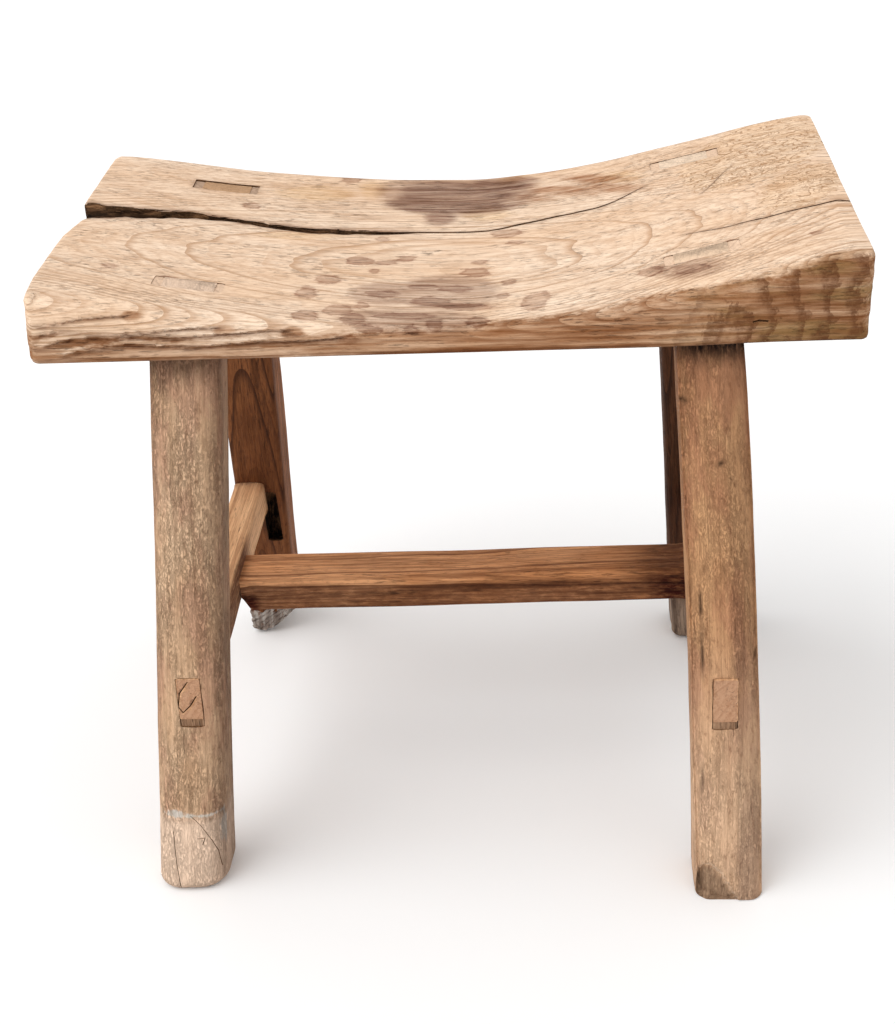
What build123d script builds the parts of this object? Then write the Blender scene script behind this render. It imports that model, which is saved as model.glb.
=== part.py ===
import os

from build123d import *

os.makedirs("parts", exist_ok=True)

# Millimetres. X runs along the seat, Y from the front to the back, Z up.
# The origin is on the floor, under the middle of the seat.

# The seat board: a thick plank whose top is hollowed to a saddle, with a flat underside
seat_length = 500.0
seat_depth = 265.0
seat_underside = 388.0  # height above the floor
seat_left_end = 44.5  # thickness of the board at its left end
seat_right_end = 56.5
seat_waist = 16.5  # thickness where the saddle is lowest
seat_end_top_round = 9.0  # rounding of the ends seen from the front
seat_end_bottom_round = 6.0
seat_edge_round = 5.0  # rounding of all edges along the front and the back
seat_back_left_corner = 13.0  # radii of the corners seen from above
seat_front_left_corner = 9.0
seat_back_right_corner = 8.0
seat_front_right_corner = 7.5

# The saddle's outline: share of the half length, share of the rise from waist to end
left_saddle_shares = ((1.0, 1.0), (0.87, 0.85), (0.61, 0.47), (0.32, 0.16))
waist_place_share = 0.06
right_saddle_shares = ((0.29, 0.125), (0.55, 0.43), (0.83, 0.83), (1.0, 1.0))

# The drying cracks: share of the half length, share of the half depth, share of the width
crack_mouth = 29.0  # width of the big crack where it opens in the left end
wide_crack_shares = (
    (-1.02, 0.140, 1.00),
    (-0.92, 0.137, 0.87),
    (-0.82, 0.180, 0.57),
    (-0.71, 0.238, 0.44),
    (-0.61, 0.237, 0.20),
    (-0.53, 0.217, 0.24),
    (-0.39, 0.177, 0.25),
    (-0.31, 0.190, 0.28),
    (-0.23, 0.192, 0.13),
    (-0.09, 0.200, 0.055),
)
fine_crack_shares = (
    (-0.09, 0.200, 0.055),
    (0.10, 0.195, 0.050),
    (0.19, 0.238, 0.045),
    (0.30, 0.283, 0.040),
    (0.43, 0.340, 0.035),
    (0.52, 0.460, 0.020),
)
fine_crack_floor = 6.0  # wood left under the fine crack
right_crack_width = 2.6
right_crack_shares = (
    (1.02, -0.355, 1.0),
    (0.97, -0.310, 0.8),
    (0.91, -0.335, 0.6),
    (0.80, -0.350, 0.5),
    (0.69, -0.344, 0.4),
    (0.60, -0.316, 0.2),
)
right_crack_floor = 28.0
short_crack_width = 1.2
short_crack_shares = ((0.745, 0.437, 0.4), (0.70, 0.287, 1.0), (0.66, 0.162, 0.4))
short_crack_floor = 32.0

# The legs: hewn sticks that splay outwards along X and Y
leg_end_inset = 67.6  # from the seat's end to a leg's outward side under the seat
leg_end_splay = 34.5  # how much nearer to the end the axis is at the floor
leg_side_inset = 38.5  # from the seat's front or back to a leg's axis under the seat
leg_side_splay = 69.0  # how much further out the axis is at the floor
leg_top_width = 44.8
leg_foot_width = 50.2
leg_depth = 46.0
leg_bow = 3.0  # how far a bowed leg stands out at half its height
leg_round = 14.0  # rounding of a leg's corners
leg_foot_round = 2.0

# The tenons on top of the legs, and the wedges beside them
fit_clearance = 0.15
tenon_offset = 8.0  # how far a tenon sits off its leg's axis
seat_tenon_width = 33.0
seat_tenon_depth = 15.0
seat_wedge_tip = 1.2  # wedge thickness at the underside of the seat
seat_wedge_head = 9.0  # wedge thickness at the height of the right end's top
seat_wedge_lift = 3.0  # from the underside of the seat to the wedge's tip

# Each leg: its sides of the middle along X and Y, then shares of the leg values above
leg_shares = {
    "leg_front_left": {
        "side_x": -1, "side_y": -1, "top_x": 0.996, "foot_x": 1.0, "foot_y": 0.92,
        "top_width": 1.0, "foot_width": 1.0, "bow": 0.0,
        "end_round": 1.15, "middle_round": 1.15, "back_round": 1.0,
        "tenon_out_x": 0.0, "tenon_out_y": -0.71,
    },
    "leg_front_right": {
        "side_x": 1, "side_y": -1, "top_x": 0.985, "foot_x": 0.911, "foot_y": 1.0,
        "top_width": 0.993, "foot_width": 0.92, "bow": 1.0,
        "end_round": 0.65, "middle_round": 0.85, "back_round": 0.25,
        "tenon_out_x": 0.0, "tenon_out_y": -1.3,
    },
    "leg_back_left": {
        "side_x": -1, "side_y": 1, "top_x": 1.0, "foot_x": 0.927, "foot_y": 1.0,
        "top_width": 0.92, "foot_width": 0.82, "bow": 0.0,
        "end_round": 0.8, "middle_round": 0.8, "back_round": 0.25,
        "tenon_out_x": 0.48, "tenon_out_y": 0.2,
    },
    "leg_back_right": {
        "side_x": 1, "side_y": 1, "top_x": 0.999, "foot_x": 0.939, "foot_y": 0.895,
        "top_width": 1.0, "foot_width": 0.92, "bow": 0.0,
        "end_round": 0.8, "middle_round": 0.8, "back_round": 0.5,
        "tenon_out_x": 0.0, "tenon_out_y": 0.58,
    },
}
leg_section_shares = ((0, 0), (0.5, 1), (1, 0))  # share of the leg's height, share of its bow

# The end stretchers: rails from the front leg to the back leg, one at each end
end_rail_width = 24.0
end_rail_height = 30.0
end_rail_round = 2.5
left_rail_offset = 2.9  # from half way between its two legs' axes to the rail's axis, outwards
right_rail_offset = 0.3
left_rail_level = 151.5  # from the floor to the rail's axis
right_rail_level = 150.0
rail_tenon_width = 16.0
rail_wedge_tip = 0.6  # wedge thickness where its leg's inward face would be
rail_wedge_head = 6.4
rail_wedge_length = 38.0

# The long stretcher: the rail that joins the two end stretchers
long_rail_depth = 36.0
long_rail_height = 28.0
long_rail_left_drop = 8.0  # from the end stretcher's axis down to its own
long_rail_right_drop = 2.5
long_rail_round = 4.0
long_tenon_depth = 20.0
long_tenon_height = 12.0
long_wedge_tip = 0.8
long_wedge_head = 3.4

# The old pocket beside the rail in the back left leg, and the chip in the front right foot
pocket_width = 12.0  # from the rail's tenon to the pocket's inner side
pocket_rise = 5.0  # from the rail's axis to the pocket's top
pocket_height = 51.0
pocket_depth = 15.0
foot_chip_width = 27.0
foot_chip_height = 20.0
foot_chip_depth = 5.0
foot_chip_offset = 7.0  # from the foot's middle towards the stool's middle

cut_overrun = 20.0  # how far a cutting solid reaches past what it cuts

half_length = seat_length / 2
half_depth = seat_depth / 2
leg_top_reach = half_length - leg_end_inset - leg_top_width / 2
leg_foot_reach = leg_top_reach + leg_end_splay
leg_top_spread = half_depth - leg_side_inset
leg_foot_spread = leg_top_spread + leg_side_splay


# The saddle line, from the left end to the right end
def saddle_points(side, end_thickness, shares):
    rise = end_thickness - seat_waist
    return [
        (side * x_share * half_length, seat_underside + seat_waist + rise * rise_share)
        for x_share, rise_share in shares
    ]


saddle_line_points = (
    saddle_points(-1, seat_left_end, left_saddle_shares)
    + [(waist_place_share * half_length, seat_underside + seat_waist)]
    + saddle_points(1, seat_right_end, right_saddle_shares)
)


# A crack seen from above: one closed outline, along one wall and back along the other
def crack_outline(shares, width):
    walls = [[(x * half_length, y * half_depth + side * share * width / 2) for x, y, share in shares]
             for side in (1, -1)]
    return walls[0] + walls[1][::-1]


# How far from the middle a leg's axis, or its outward (1) or inward (-1) face, is along Y
def leg_spread(leg, height, face=0):
    foot_spread = leg["foot_y"] * leg_foot_spread
    return foot_spread + face * leg_depth / 2 - (foot_spread - leg_top_spread) * height / seat_underside


# Where a leg's straight axis is at a height above the floor
def leg_axis(leg, height):
    foot_reach, top_reach = leg["foot_x"] * leg_foot_reach, leg["top_x"] * leg_top_reach
    reach = foot_reach + (top_reach - foot_reach) * height / seat_underside
    return leg["side_x"] * reach, leg["side_y"] * leg_spread(leg, height)


# The plane of a leg's outward (1) or inward (-1) face, with its normal away from the middle
def leg_face_plane(leg, face):
    lean = leg_spread(leg, 0) - leg_spread(leg, seat_underside)
    return Plane(
        origin=(0, leg["side_y"] * leg_spread(leg, 0, face), 0),
        x_dir=(1, 0, 0),
        z_dir=(0, leg["side_y"] * seat_underside, lean),
    )


# A rectangle swept along a leg's tenon axis: the offset and the width depend on the height
def leaning_block(leg, low, high, offset_at, width_at, depth):
    with BuildPart() as block:
        for height in (low, high):
            x, y = leg_axis(leg, height)
            x += leg["side_x"] * leg["tenon_out_x"] * tenon_offset
            y += leg["side_y"] * leg["tenon_out_y"] * tenon_offset
            with BuildSketch(Plane.XY.offset(height)):
                with Locations((x + offset_at(height), y)):
                    Rectangle(width_at(height), depth)
        loft(ruled=True)
    return block.part


def seat_wedge_thickness(height):
    taper = (seat_wedge_head - seat_wedge_tip) / seat_right_end
    return seat_wedge_tip + taper * (height - seat_underside)


def seat_tenon(leg):
    high = seat_underside + seat_right_end
    return leaning_block(
        leg, seat_underside, high, lambda height: 0, lambda height: seat_tenon_width, seat_tenon_depth
    )


def seat_mortise(leg):
    return leaning_block(
        leg,
        seat_underside - seat_wedge_lift,
        seat_underside + seat_right_end,
        lambda height: 0,
        lambda height: seat_tenon_width + 2 * seat_wedge_thickness(height),
        seat_tenon_depth + 2 * fit_clearance,
    )


def seat_wedge(leg, side):
    return leaning_block(
        leg,
        seat_underside + seat_wedge_lift,
        seat_underside + seat_right_end,
        lambda height: side * (seat_tenon_width + seat_wedge_thickness(height)) / 2,
        seat_wedge_thickness,
        seat_tenon_depth,
    )


# Where the left (-1) or right (1) end stretcher's axis is: X and the height
def end_rail_place(side_x):
    level = left_rail_level if side_x < 0 else right_rail_level
    offset = left_rail_offset if side_x < 0 else right_rail_offset
    axes = [leg_axis(leg, level)[0] for leg in leg_shares.values() if leg["side_x"] == side_x]
    return sum(axes) / len(axes) + side_x * offset, level


# The height of the long stretcher's axis at that end stretcher
def long_rail_level(side_x):
    drop = long_rail_left_drop if side_x < 0 else long_rail_right_drop
    return end_rail_place(side_x)[1] - drop


# The wedge under an end stretcher's tenon, and the slope that its mortise shares
def rail_wedge_points(leg, outer, inner):
    side_y = leg["side_y"]
    low = end_rail_place(leg["side_x"])[1] - end_rail_height / 2
    face = leg_spread(leg, low, 1)
    taper = (rail_wedge_head - rail_wedge_tip) / leg_depth
    thickness = [rail_wedge_head - taper * (face - spread) for spread in (outer, inner)]
    return [
        (side_y * outer, low),
        (side_y * inner, low),
        (side_y * inner, low - thickness[1]),
        (side_y * outer, low - thickness[0]),
    ]


def rail_mortise(leg):
    side_y = leg["side_y"]
    middle_x, level = end_rail_place(leg["side_x"])
    high = level + end_rail_height / 2 + fit_clearance
    outer = leg_spread(leg, level, 1) + cut_overrun
    inner = leg_spread(leg, level, -1) - cut_overrun
    corners = rail_wedge_points(leg, outer, inner)
    with BuildPart() as mortise:
        with BuildSketch(Plane.YZ.offset(middle_x)):
            with BuildLine():
                Polyline((side_y * outer, high), (side_y * inner, high), *corners[2:], close=True)
            make_face()
        extrude(amount=rail_tenon_width / 2 + fit_clearance, both=True)
    return mortise.part


# The long stretcher's tenon in an end stretcher: its level, half way between the two axes
def long_tenon_level(side_x):
    return (long_rail_level(side_x) + end_rail_place(side_x)[1]) / 2


# The wedge over that tenon, from one X to another, with its thick end outwards
def long_wedge_points(side_x, outer, inner):
    base = long_tenon_level(side_x) + long_tenon_height / 2
    face = abs(end_rail_place(side_x)[0]) + end_rail_width / 2
    taper = (long_wedge_head - long_wedge_tip) / end_rail_width
    thickness = [long_wedge_head - taper * (face - reach) for reach in (outer, inner)]
    return [
        (side_x * outer, base),
        (side_x * inner, base),
        (side_x * inner, base + thickness[1]),
        (side_x * outer, base + thickness[0]),
    ]


def long_mortise(side_x):
    base = long_tenon_level(side_x) - long_tenon_height / 2 - fit_clearance
    middle = abs(end_rail_place(side_x)[0])
    outer, inner = middle + end_rail_width, middle - end_rail_width
    corners = long_wedge_points(side_x, outer, inner)
    with BuildPart() as mortise:
        with BuildSketch(Plane.XZ):
            with BuildLine():
                Polyline((side_x * outer, base), (side_x * inner, base), *corners[2:], close=True)
            make_face()
        extrude(amount=long_tenon_depth / 2 + fit_clearance, both=True)
    return mortise.part


# Everything that lies under the saddle line, which trims the tenons and wedges flush
with BuildPart() as under_saddle:
    with BuildSketch(Plane.XZ):
        with BuildLine():
            saddle_line = Spline(*saddle_line_points)
            Polyline(saddle_line @ 1, (half_length, 0), (-half_length, 0), saddle_line @ 0)
        make_face()
    extrude(amount=seat_depth, both=True)

# The seat, rounded seen from the front and seen from above
with BuildPart() as seat:
    with BuildSketch(Plane.XZ) as seat_side:
        with BuildLine():
            top_line = Spline(*saddle_line_points)
            Polyline(
                top_line @ 1, (half_length, seat_underside), (-half_length, seat_underside), top_line @ 0
            )
        make_face()
        ends = seat_side.vertices().group_by(Axis.X)
        fillet([ends[0].sort_by(Axis.Y)[-1], ends[-1].sort_by(Axis.Y)[-1]], seat_end_top_round)
        fillet(seat_side.vertices().group_by(Axis.Y)[0], seat_end_bottom_round)
    extrude(amount=half_depth, both=True)
    fillet(seat.faces().sort_by(Axis.Y)[0].edges(), seat_edge_round)
    fillet(seat.faces().sort_by(Axis.Y)[-1].edges(), seat_edge_round)
    with BuildSketch(Plane.XY.offset(seat_underside)) as seat_plan:
        Rectangle(seat_length, seat_depth)
        for side_x, side_y, radius in (
            (-1, -1, seat_front_left_corner),
            (-1, 1, seat_back_left_corner),
            (1, -1, seat_front_right_corner),
            (1, 1, seat_back_right_corner),
        ):
            corner = (side_x * half_length, side_y * half_depth, 0)
            fillet(seat_plan.vertices().sort_by_distance(corner)[0], radius)
    extrude(amount=seat_right_end + cut_overrun, mode=Mode.INTERSECT)

    # The big crack goes right through, the finer ones stop inside the wood
    for shares, width, floor in (
        (wide_crack_shares, crack_mouth, -cut_overrun),
        (fine_crack_shares, crack_mouth, fine_crack_floor),
        (right_crack_shares, right_crack_width, right_crack_floor),
        (short_crack_shares, short_crack_width, short_crack_floor),
    ):
        with BuildSketch(Plane.XY.offset(seat_underside + floor)):
            with BuildLine():
                Polyline(*crack_outline(shares, width), close=True)
            make_face()
        extrude(amount=seat_right_end + cut_overrun, mode=Mode.SUBTRACT)
    for leg in leg_shares.values():
        add(seat_mortise(leg), mode=Mode.SUBTRACT)
seat.part.label = "seat"
export_step(seat.part, "parts/seat.step")

# The legs, each with its tenon through the seat and its mortise for the end stretcher
for name, leg in leg_shares.items():
    side_x, side_y = leg["side_x"], leg["side_y"]
    foot_width = leg["foot_width"] * leg_foot_width
    width_change = leg["top_width"] * leg_top_width - foot_width
    with BuildPart() as stick:
        for share, bow_share in leg_section_shares:
            x, y = leg_axis(leg, share * seat_underside)
            x += side_x * leg["bow"] * leg_bow * bow_share
            width = foot_width + width_change * share
            with BuildSketch(Plane.XY.offset(share * seat_underside)) as section:
                with Locations((x, y)):
                    Rectangle(width, leg_depth)
                for corner_x, corner_y, round_share in (
                    (side_x, side_y, leg["end_round"]),
                    (-side_x, side_y, leg["middle_round"]),
                    (side_x, -side_y, leg["back_round"]),
                    (-side_x, -side_y, leg["back_round"]),
                ):
                    corner = (x + corner_x * width / 2, y + corner_y * leg_depth / 2, 0)
                    fillet(section.vertices().sort_by_distance(corner)[0], round_share * leg_round)
        loft(ruled=True)
        fillet(stick.faces().sort_by(Axis.Z)[0].edges(), leg_foot_round)
        add(seat_tenon(leg))
        add(under_saddle.part, mode=Mode.INTERSECT)
        add(rail_mortise(leg), mode=Mode.SUBTRACT)

        if name == "leg_back_left":
            # An older, wider mortise shows beside the rail
            rail_x, rail_level = end_rail_place(side_x)
            pocket_low = rail_level + pocket_rise - pocket_height
            face = leg_spread(leg, pocket_low + pocket_height / 2, -1)
            with BuildSketch(Plane.XY.offset(pocket_low)):
                with Locations((rail_x + (rail_tenon_width + pocket_width) / 2, face)):
                    Rectangle(pocket_width, 2 * pocket_depth)
            extrude(amount=pocket_height, mode=Mode.SUBTRACT)

        if name == "leg_front_right":
            # The foot's front is chipped in an arch
            chip_x = leg_axis(leg, 0)[0] - side_x * foot_chip_offset
            with BuildSketch(leg_face_plane(leg, 1)):
                with BuildLine():
                    arch = ThreePointArc(
                        (chip_x - foot_chip_width / 2, 0),
                        (chip_x, foot_chip_height),
                        (chip_x + foot_chip_width / 2, 0),
                    )
                    Polyline(
                        arch @ 1,
                        (chip_x + foot_chip_width / 2, -cut_overrun),
                        (chip_x - foot_chip_width / 2, -cut_overrun),
                        arch @ 0,
                    )
                make_face()
            extrude(amount=foot_chip_depth, both=True, mode=Mode.SUBTRACT)
    stick.part.label = name
    export_step(stick.part, f"parts/{name}.step")

    # Two wedges tighten the tenon in the seat
    for wedge_name, side in (("outer", side_x), ("inner", -side_x)):
        with BuildPart() as wedge:
            add(seat_wedge(leg, side))
            add(under_saddle.part, mode=Mode.INTERSECT)
        wedge.part.label = name.replace("leg", "seat_wedge") + "_" + wedge_name
        export_step(wedge.part, f"parts/{wedge.part.label}.step")

    # One wedge tightens the end stretcher's tenon in the leg
    low = end_rail_place(side_x)[1] - end_rail_height / 2
    wedge_outer = leg_spread(leg, low, 1) + cut_overrun
    wedge_inner = leg_spread(leg, low, 1) - rail_wedge_length
    with BuildPart() as wedge:
        with BuildSketch(Plane.YZ.offset(end_rail_place(side_x)[0])):
            with BuildLine():
                Polyline(*rail_wedge_points(leg, wedge_outer, wedge_inner), close=True)
            make_face()
        extrude(amount=rail_tenon_width / 2, both=True)
        split(bisect_by=leg_face_plane(leg, 1), keep=Keep.BOTTOM)
    wedge.part.label = name.replace("leg", "rail_wedge")
    export_step(wedge.part, f"parts/{wedge.part.label}.step")

# The end stretchers, with shoulders on the legs' inward faces and tenons flush outside
for name, side_x in (("end_stretcher_left", -1), ("end_stretcher_right", 1)):
    its_legs = [leg for leg in leg_shares.values() if leg["side_x"] == side_x]
    with BuildPart() as end_rail:
        with BuildSketch(Plane.XZ) as rail_section:
            with Locations(end_rail_place(side_x)):
                Rectangle(end_rail_width, end_rail_height)
            fillet(rail_section.vertices(), end_rail_round)
        extrude(amount=leg_foot_spread, both=True)
        for leg in its_legs:
            split(bisect_by=leg_face_plane(leg, -1), keep=Keep.BOTTOM)
        with BuildSketch(Plane.XZ):
            with Locations(end_rail_place(side_x)):
                Rectangle(rail_tenon_width, end_rail_height)
        extrude(amount=leg_foot_spread + leg_depth, both=True)
        for leg in its_legs:
            split(bisect_by=leg_face_plane(leg, 1), keep=Keep.BOTTOM)
        add(long_mortise(side_x), mode=Mode.SUBTRACT)
    end_rail.part.label = name
    export_step(end_rail.part, f"parts/{name}.step")

# The long stretcher, slightly tilted, with a tenon through each end stretcher
left_shoulder = end_rail_place(-1)[0] + end_rail_width / 2
right_shoulder = end_rail_place(1)[0] - end_rail_width / 2
long_span = right_shoulder - left_shoulder
with BuildPart() as long_rail:
    tilted = Plane(
        origin=((left_shoulder + right_shoulder) / 2, 0, (long_rail_level(-1) + long_rail_level(1)) / 2),
        x_dir=(0, 1, 0),
        z_dir=(long_span, 0, long_rail_level(1) - long_rail_level(-1)),
    )
    with BuildSketch(tilted) as long_section:
        Rectangle(long_rail_depth, long_rail_height)
        fillet(long_section.vertices(), long_rail_round)
    extrude(amount=long_span, both=True)
    split(bisect_by=Plane.YZ.offset(left_shoulder), keep=Keep.TOP)
    split(bisect_by=Plane.YZ.offset(right_shoulder), keep=Keep.BOTTOM)
    for side_x, shoulder in ((-1, left_shoulder), (1, right_shoulder)):
        with BuildSketch(Plane.YZ.offset(shoulder)):
            with Locations((0, long_tenon_level(side_x))):
                Rectangle(long_tenon_depth, long_tenon_height)
        extrude(amount=side_x * end_rail_width)
long_rail.part.label = "long_stretcher"
export_step(long_rail.part, "parts/long_stretcher.step")

for name, side_x in (("long_wedge_left", -1), ("long_wedge_right", 1)):
    middle = abs(end_rail_place(side_x)[0])
    with BuildPart() as wedge:
        with BuildSketch(Plane.XZ):
            with BuildLine():
                Polyline(
                    *long_wedge_points(side_x, middle + end_rail_width / 2, middle - end_rail_width / 2),
                    close=True,
                )
            make_face()
        extrude(amount=long_tenon_depth / 2, both=True)
    wedge.part.label = name
    export_step(wedge.part, f"parts/{name}.step")
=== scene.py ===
import math

import bmesh
import bpy
import numpy as np
from mathutils import Matrix, Vector


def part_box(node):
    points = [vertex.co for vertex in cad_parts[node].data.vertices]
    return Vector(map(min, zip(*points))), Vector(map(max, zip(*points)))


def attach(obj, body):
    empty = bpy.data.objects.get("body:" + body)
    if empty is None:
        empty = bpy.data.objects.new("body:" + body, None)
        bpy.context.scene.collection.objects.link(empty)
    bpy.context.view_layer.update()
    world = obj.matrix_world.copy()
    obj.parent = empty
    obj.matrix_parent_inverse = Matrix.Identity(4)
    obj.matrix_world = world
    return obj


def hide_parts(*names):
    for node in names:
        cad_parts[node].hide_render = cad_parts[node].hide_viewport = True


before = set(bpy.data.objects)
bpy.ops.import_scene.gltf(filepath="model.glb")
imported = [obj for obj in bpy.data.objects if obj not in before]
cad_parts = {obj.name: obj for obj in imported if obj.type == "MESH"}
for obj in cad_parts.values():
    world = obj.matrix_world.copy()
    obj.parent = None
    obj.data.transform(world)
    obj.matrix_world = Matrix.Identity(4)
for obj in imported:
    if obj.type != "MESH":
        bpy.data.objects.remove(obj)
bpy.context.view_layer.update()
print("frame loaded:", len(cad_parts), "nodes")

mm = 0.001
sharpAngle = 38  # degrees; flatter edges are shaded smooth
seatLow, seatHigh = (np.array(corner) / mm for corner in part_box("seat"))
underside = 388.0

# where the photo was taken from, in millimetres, and its size in pixels
camera = {
    "place": np.array([68.288, -999.553, 793.908]),
    "right": np.array([0.997361, 0.04977473, -0.05285372]),
    "up": np.array([0.02003658, 0.51101353, 0.85933911]),
    "forward": np.array([-0.06978234, 0.85813032, -0.50866765]),
    "focal": 1615.354,
    "width": 895,
    "height": 1024,
}


# small tools

# -1 to 1, one value for each point, smooth over a cell in millimetres
def softNoise(points, cell, seed):
    scaled = points / np.asarray(cell, float)
    base = np.floor(scaled).astype(np.int64)
    part = scaled - base
    part = part * part * (3 - 2 * part)
    total = np.zeros(len(scaled))
    for corner in range(8):
        step = np.array([corner >> 2 & 1, corner >> 1 & 1, corner & 1])
        c = base + step
        h = (c[:, 0] * 73856093 ^ c[:, 1] * 19349663 ^ c[:, 2] * 83492791 ^ seed * 2654435761) & 0xFFFFFFFF
        h = ((h ^ (h >> 13)) * 1274126177) & 0xFFFFFFFF
        value = ((h ^ (h >> 16)) & 0xFFFF) / 32767.5 - 1
        total += value * np.prod(np.where(step == 1, part, 1 - part), axis=1)
    return total


# layers of it, each with its cell, height and seed
def layered(points, layers):
    return sum(softNoise(points, cell, seed) * height for cell, height, seed in layers)


# a value read off a table of pairs, straight between them
def readOff(table, at):
    return np.interp(at, *np.array(table, float).T)


# a smooth line through (x, value) pairs, as a function
def smoothCurve(points):
    xs, ys = np.array(points, float).T
    slopes = np.gradient(ys, xs)

    def value(x):
        x = np.clip(x, xs[0], xs[-1])
        i = np.clip(np.searchsorted(xs, x) - 1, 0, len(xs) - 2)
        h = xs[i + 1] - xs[i]
        t = (x - xs[i]) / h
        a = (2 * t**3 - 3 * t**2 + 1) * ys[i] + (t**3 - 2 * t**2 + t) * h * slopes[i]
        return a + (3 * t**2 - 2 * t**3) * ys[i + 1] + (t**3 - t**2) * h * slopes[i + 1]

    return value


def stepUp(value, low, high):
    t = np.clip((value - low) / (high - low), 0, 1)
    return t * t * (3 - 2 * t)


# the largest of several values, place by place
def largest(first, *more):
    for value in more:
        first = np.maximum(first, value)
    return first


# points in rows, from coordinates of which some may be a single number
def rows(x, y, z):
    return np.stack(np.broadcast_arrays(x, y, z), 1).astype(float)


def makeMesh(name, verts, faces):
    mesh = bpy.data.meshes.new(name)
    mesh.from_pydata((np.asarray(verts) * mm).tolist(), [], faces)
    work = bmesh.new()
    work.from_mesh(mesh)
    bmesh.ops.recalc_face_normals(work, faces=work.faces)
    work.to_mesh(mesh)
    work.free()
    piece = bpy.data.objects.new(name, mesh)
    bpy.context.scene.collection.objects.link(piece)
    return piece


def places(piece):
    flat = np.empty(len(piece.data.vertices) * 3, np.float32)
    piece.data.vertices.foreach_get("co", flat)
    return flat.reshape(-1, 3).astype(float) / mm


def movePlaces(piece, verts):
    piece.data.vertices.foreach_set("co", (verts * mm).astype(np.float32).ravel())
    piece.data.update()


def normals(piece):
    flat = np.empty(len(piece.data.vertices) * 3, np.float32)
    piece.data.vertex_normals.foreach_get("vector", flat)
    return flat.reshape(-1, 3).astype(float)


# the materials read these values at each vertex
def keepValue(piece, name, values):
    values = np.asarray(values, np.float32)
    kind, field = ("FLOAT_VECTOR", "vector") if values.ndim == 2 else ("FLOAT", "value")
    piece.data.attributes.new(name, kind, "POINT").data.foreach_set(field, values.ravel())


def applyModifiers(piece):
    result = bpy.data.meshes.new_from_object(piece.evaluated_get(bpy.context.evaluated_depsgraph_get()))
    piece.modifiers.clear()
    piece.data = result


# a closed skin over rings with the same number of points, ends closed to a point
def ringStack(name, rings):
    rings = np.asarray(rings, float)
    shrink = (0.94, 0.8, 0.6, 0.35)
    first = [rings[0].mean(0) + (rings[0] - rings[0].mean(0)) * s for s in reversed(shrink)]
    last = [rings[-1].mean(0) + (rings[-1] - rings[-1].mean(0)) * s for s in shrink]
    rings = np.array(first + list(rings) + last)
    count, around = rings.shape[:2]
    verts = np.vstack([rings.reshape(-1, 3), rings[0].mean(0), rings[-1].mean(0)])
    faces = []
    for i in range(count - 1):
        for j in range(around):
            k = (j + 1) % around
            faces.append((i * around + j, i * around + k, (i + 1) * around + k, (i + 1) * around + j))
    for j in range(around):
        k = (j + 1) % around
        faces.append((count * around, k, j))
        faces.append((count * around + 1, (count - 1) * around + j, (count - 1) * around + k))
    return makeMesh(name, verts, faces)


# points round a rectangle; radii is one number, or four from +x +y round against the clock
def roundedSection(halfX, halfY, radii, count):
    corners = ((1, 1), (-1, 1), (-1, -1), (1, -1))
    line = []
    for (sx, sy), r, start in zip(corners, np.broadcast_to(radii, 4), (0, 90, 180, 270)):
        for angle in np.radians(np.linspace(start, start + 90, 9)):
            line.append((sx * (halfX - r) + r * math.cos(angle), sy * (halfY - r) + r * math.sin(angle)))
    line = np.array(line + line[:1])
    run = np.concatenate([[0], np.cumsum(np.hypot(*np.diff(line, axis=0).T))])
    at = np.linspace(0, run[-1], count, endpoint=False)
    return np.stack([np.interp(at, run, line[:, 0]), np.interp(at, run, line[:, 1])], 1)


# exact cut with all the cutters, which are then removed; their material comes along
def cutAway(piece, cutters):
    group = bpy.data.collections.new(piece.name + "Cutters")
    for cutter in cutters:
        bpy.context.scene.collection.objects.unlink(cutter)
        group.objects.link(cutter)
    cut = piece.modifiers.new("cut", "BOOLEAN")
    cut.operation, cut.solver, cut.operand_type = "DIFFERENCE", "EXACT", "COLLECTION"
    cut.collection = group
    cut.material_mode = "TRANSFER"
    applyModifiers(piece)
    for cutter in cutters:
        bpy.data.objects.remove(cutter)
    bpy.data.collections.remove(group)


def handOver(piece, slotName, *nodeNames):
    piece.data.shade_smooth()
    piece.data.set_sharp_from_angle(angle=math.radians(sharpAngle))
    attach(piece, "root")
    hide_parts(*nodeNames)
    print("made", piece.name, len(piece.data.polygons), "faces")


def photoRay(u, v):
    offset = camera["right"] * (u - camera["width"] / 2) - camera["up"] * (v - camera["height"] / 2)
    return camera["forward"] + offset / camera["focal"]


# wood

# noise in the wood: scale along the grain and both ways across it, for each metre; detail; roughness
grain = {
    "wander": ((4.0, 22.0, 22.0), 2.0, 0.55), "curl": ((48.0, 70.0, 70.0), 3.0, 0.6),
    "years": ((1.5, 30.0, 30.0), 2.0, 0.55), "fibre": ((22.0, 900.0, 900.0), 3.0, 0.6),
    "streak": ((8.0, 190.0, 190.0), 4.0, 0.62), "dash": ((80.0, 760.0, 760.0), 3.0, 0.6),
    "patch": ((13.0, 60.0, 60.0), 4.0, 0.6), "scribble": ((26.0, 52.0, 52.0), 3.0, 0.5),
    "cloud": ((9.0, 26.0, 26.0), 4.0, 0.6), "fleck": ((150.0, 330.0, 330.0), 4.0, 0.7),
    "mottle": ((190.0, 520.0, 520.0), 5.0, 0.78), "blush": ((15.0, 46.0, 46.0), 4.0, 0.65),
    "ragged": ((110.0, 330.0, 330.0), 5.0, 0.7), "arcs": ((70.0, 70.0, 45.0), 5.0, 0.68),
}
# how far each mark stands out of the surface, or sinks in where it is below 0
relief = {"late": 0.5, "fibre": -0.7, "streak": -0.9, "dash": -0.9, "fleck": -0.6, "scribble": -0.9}
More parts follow.
